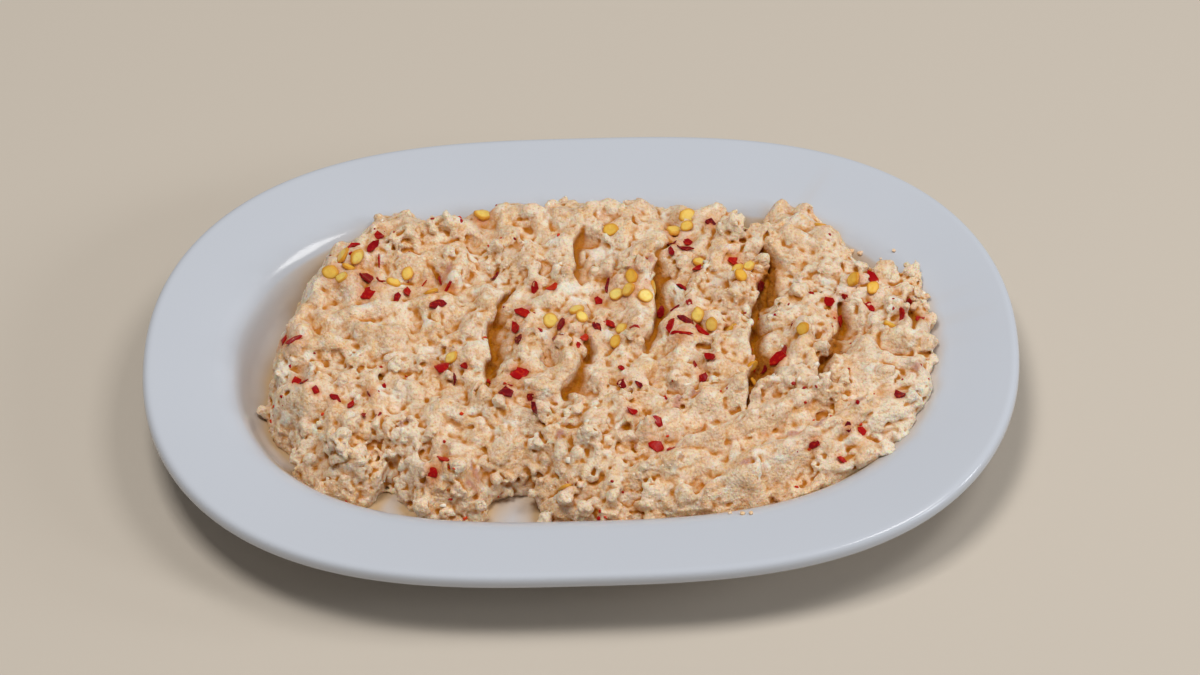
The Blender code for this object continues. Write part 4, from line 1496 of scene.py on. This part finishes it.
class DIP_OT_crumble(bpy.types.Operator):
    """Scatters loose grains, white curds and fine chilli specks over the dip"""

    bl_idname = "dip.crumble"
    bl_label = "Grains, curds and specks"

    def execute(self, context):
        dip = context.scene.dip
        chilli = context.scene.chilli
        chilli_skin = bpy.data.materials["Dried chilli skin"]
        tree = scattered_tree()
        grain = crumbled_cheese(dip)
        # Name, shape, number on a square metre, where they lie thickest, smallest and largest size and how
        # far they sink in millimetres, the value that each is given, from and to what, material and slot
        kinds = (
            ("cheese_grains", grain_shape, dip.grains, "crumbly", (0.5, 1.2, 0.2), "paleness", (0.3, 0.75),
             grain, "spicy_cheese"),
            ("white_curds", curd_shape, dip.whites, "crumbly", (1.3, 2.8, 0.55), "paleness", (0.7, 1.0),
             white_curd(dip), "white_curd"),
            ("chilli_specks", grain_shape, chilli.specks, "peppered", (0.7, 1.8, 0.1), "shade", (0.3, 1.0),
             chilli_skin, "chilli_flake"),
        )
        for seed, (name, shape, density, thicker, sizes, value, span, material, slot) in enumerate(kinds):
            pieces = variants(f"{name}_shape", shape, 8)
            piece = mesh_object(name, bpy.data.meshes.new(name))
            values = {
                "Surface": bpy.data.objects["whipped_cheese"], "Density": density, "Thicker by": thicker,
                "Smallest": sizes[0] * MM, "Largest": sizes[1] * MM, "Sink": sizes[2] * MM,
                "Value name": value, "Lowest value": span[0], "Highest value": span[1], "Seed": seed,
                "Material": material,
            }
            run_tree(piece, tree, pieces, values)
            set_down(piece, DIP_NODE, crisp=name == "chilli_specks")
        self.stray(context.scene.platter, grain)
        return {"FINISHED"}

    def stray(self, platter, material):
        """The few crumbs that fell on the rim."""
        draw = random.Random(11)
        rows = []
        for x, y in STRAY_CRUMBS:
            for _ in range(CRUMBS_EACH):
                place = np.array([draw.gauss(x, 1.5), draw.gauss(y, 1.5)]) * MM
                size = draw.uniform(0.9, 2.2) * MM
                height = float(platter_top(place[:1], place[1:], platter)[0]) + 0.2 * size
                rows.append({
                    "point": (*place, height),
                    "turn": (0, 0, draw.uniform(0, 2 * math.pi)), "size": (size,) * 3,
                    "pick": draw.randrange(6), "shade": 0,
                })
        pieces = variants("crumb", grain_shape, 6)
        piece = scatter_points("stray_crumbs", rows)
        tree = bpy.data.node_groups["Set pieces on points"]
        run_tree(piece, tree, pieces, {"Material": material})
        set_down(piece, DIP_NODE, crisp=True)


class DIP_OT_studio(bpy.types.Operator):
    """Sets up the floor, the lights and the camera"""

    bl_idname = "dip.studio"
    bl_label = "Studio"

    def execute(self, context):
        settings = context.scene.studio
        self.floor(settings)
        world = bpy.data.worlds.new("Even room light")
        world.use_nodes = True
        background = world.node_tree.nodes["Background"]
        background.inputs["Color"].default_value = ROOM_COLOUR
        background.inputs["Strength"].default_value = settings.room_light
        context.scene.world = world
        key = self.light("key", settings.key_power, *KEY_LIGHT)
        key.visible_glossy = False
        self.light("ceiling", settings.ceiling_power, *CEILING_LIGHT)
        for number, window in enumerate(WINDOW_LIGHTS):
            self.light(f"window_{number}", settings.window_power, *window)
        self.camera(context.scene)
        context.scene.view_settings.view_transform = "Standard"
        return {"FINISHED"}

    def floor(self, settings):
        bm = bmesh.new()
        bmesh.ops.create_grid(bm, x_segments=1, y_segments=1, size=4)
        floor = object_from(bm, "studio_floor")
        floor.data.materials.append(matte_paint(settings))

    def light(self, name, power, place, width, height, colour):
        """A rectangular soft light that looks at the dip."""
        lamp = bpy.data.lights.new(name, "AREA")
        lamp.shape = "RECTANGLE"
        lamp.size = width
        lamp.size_y = height
        lamp.energy = power
        lamp.color = colour
        thing = bpy.data.objects.new(name, lamp)
        thing.location = place
        thing.rotation_euler = Vector(place).to_track_quat("Z", "Y").to_euler()
        bpy.context.scene.collection.objects.link(thing)
        return thing

    def camera(self, scene):
        """The camera that the rim's outline was fitted with."""
        lens = bpy.data.cameras.new("Camera")
        lens.sensor_width = SENSOR_WIDTH
        lens.lens = FOCAL_PIXELS / PHOTO_WIDTH * SENSOR_WIDTH
        camera = bpy.data.objects.new("Camera", lens)
        azimuth = math.radians(CAMERA_AZIMUTH)
        elevation = math.radians(CAMERA_ELEVATION)
        level = math.cos(elevation)
        back = Vector((math.sin(azimuth) * level, -math.cos(azimuth) * level, math.sin(elevation)))
        aim = back.to_track_quat("Z", "Y").to_matrix()
        roll = Matrix.Rotation(math.radians(-CAMERA_ROLL), 3, "Z")
        place = Matrix.Translation(Vector(CAMERA_TARGET) + back * CAMERA_DISTANCE)
        camera.matrix_world = place @ (aim @ roll).to_4x4()
        scene.collection.objects.link(camera)
        scene.camera = camera


class DIP_PT_panel(bpy.types.Panel):
    """Lists the steps and their settings"""

    bl_label = "Cheese dip"
    bl_idname = "DIP_PT_panel"
    bl_space_type = "VIEW_3D"
    bl_region_type = "UI"
    bl_category = "Cheese dip"

    def draw(self, context):
        for operator in OPERATORS:
            self.layout.operator(operator.bl_idname)
        for group in (context.scene.platter, context.scene.dip, context.scene.chilli, context.scene.studio):
            box = self.layout.box()
            for name in group.bl_rna.properties.keys():
                if name not in ("rna_type", "name"):
                    box.prop(group, name)


GROUPS = {"platter": PlatterSettings, "dip": DipSettings, "chilli": ChilliSettings, "studio": StudioSettings}
OPERATORS = (DIP_OT_platter, DIP_OT_cheese, DIP_OT_sprinkle, DIP_OT_crumble, DIP_OT_studio)


def register():
    for group in GROUPS.values():
        bpy.utils.register_class(group)
    for name, group in GROUPS.items():
        setattr(bpy.types.Scene, name, bpy.props.PointerProperty(type=group))
    for operator in OPERATORS:
        bpy.utils.register_class(operator)
    bpy.utils.register_class(DIP_PT_panel)


def unregister():
    bpy.utils.unregister_class(DIP_PT_panel)
    for operator in reversed(OPERATORS):
        bpy.utils.unregister_class(operator)
    for name in GROUPS:
        delattr(bpy.types.Scene, name)
    for group in GROUPS.values():
        bpy.utils.unregister_class(group)


def main():
    register()
    bpy.ops.dip.platter()
    bpy.ops.dip.cheese()
    bpy.ops.dip.sprinkle()
    bpy.ops.dip.crumble()
    bpy.ops.dip.studio()


if __name__ == "__main__":
    main()
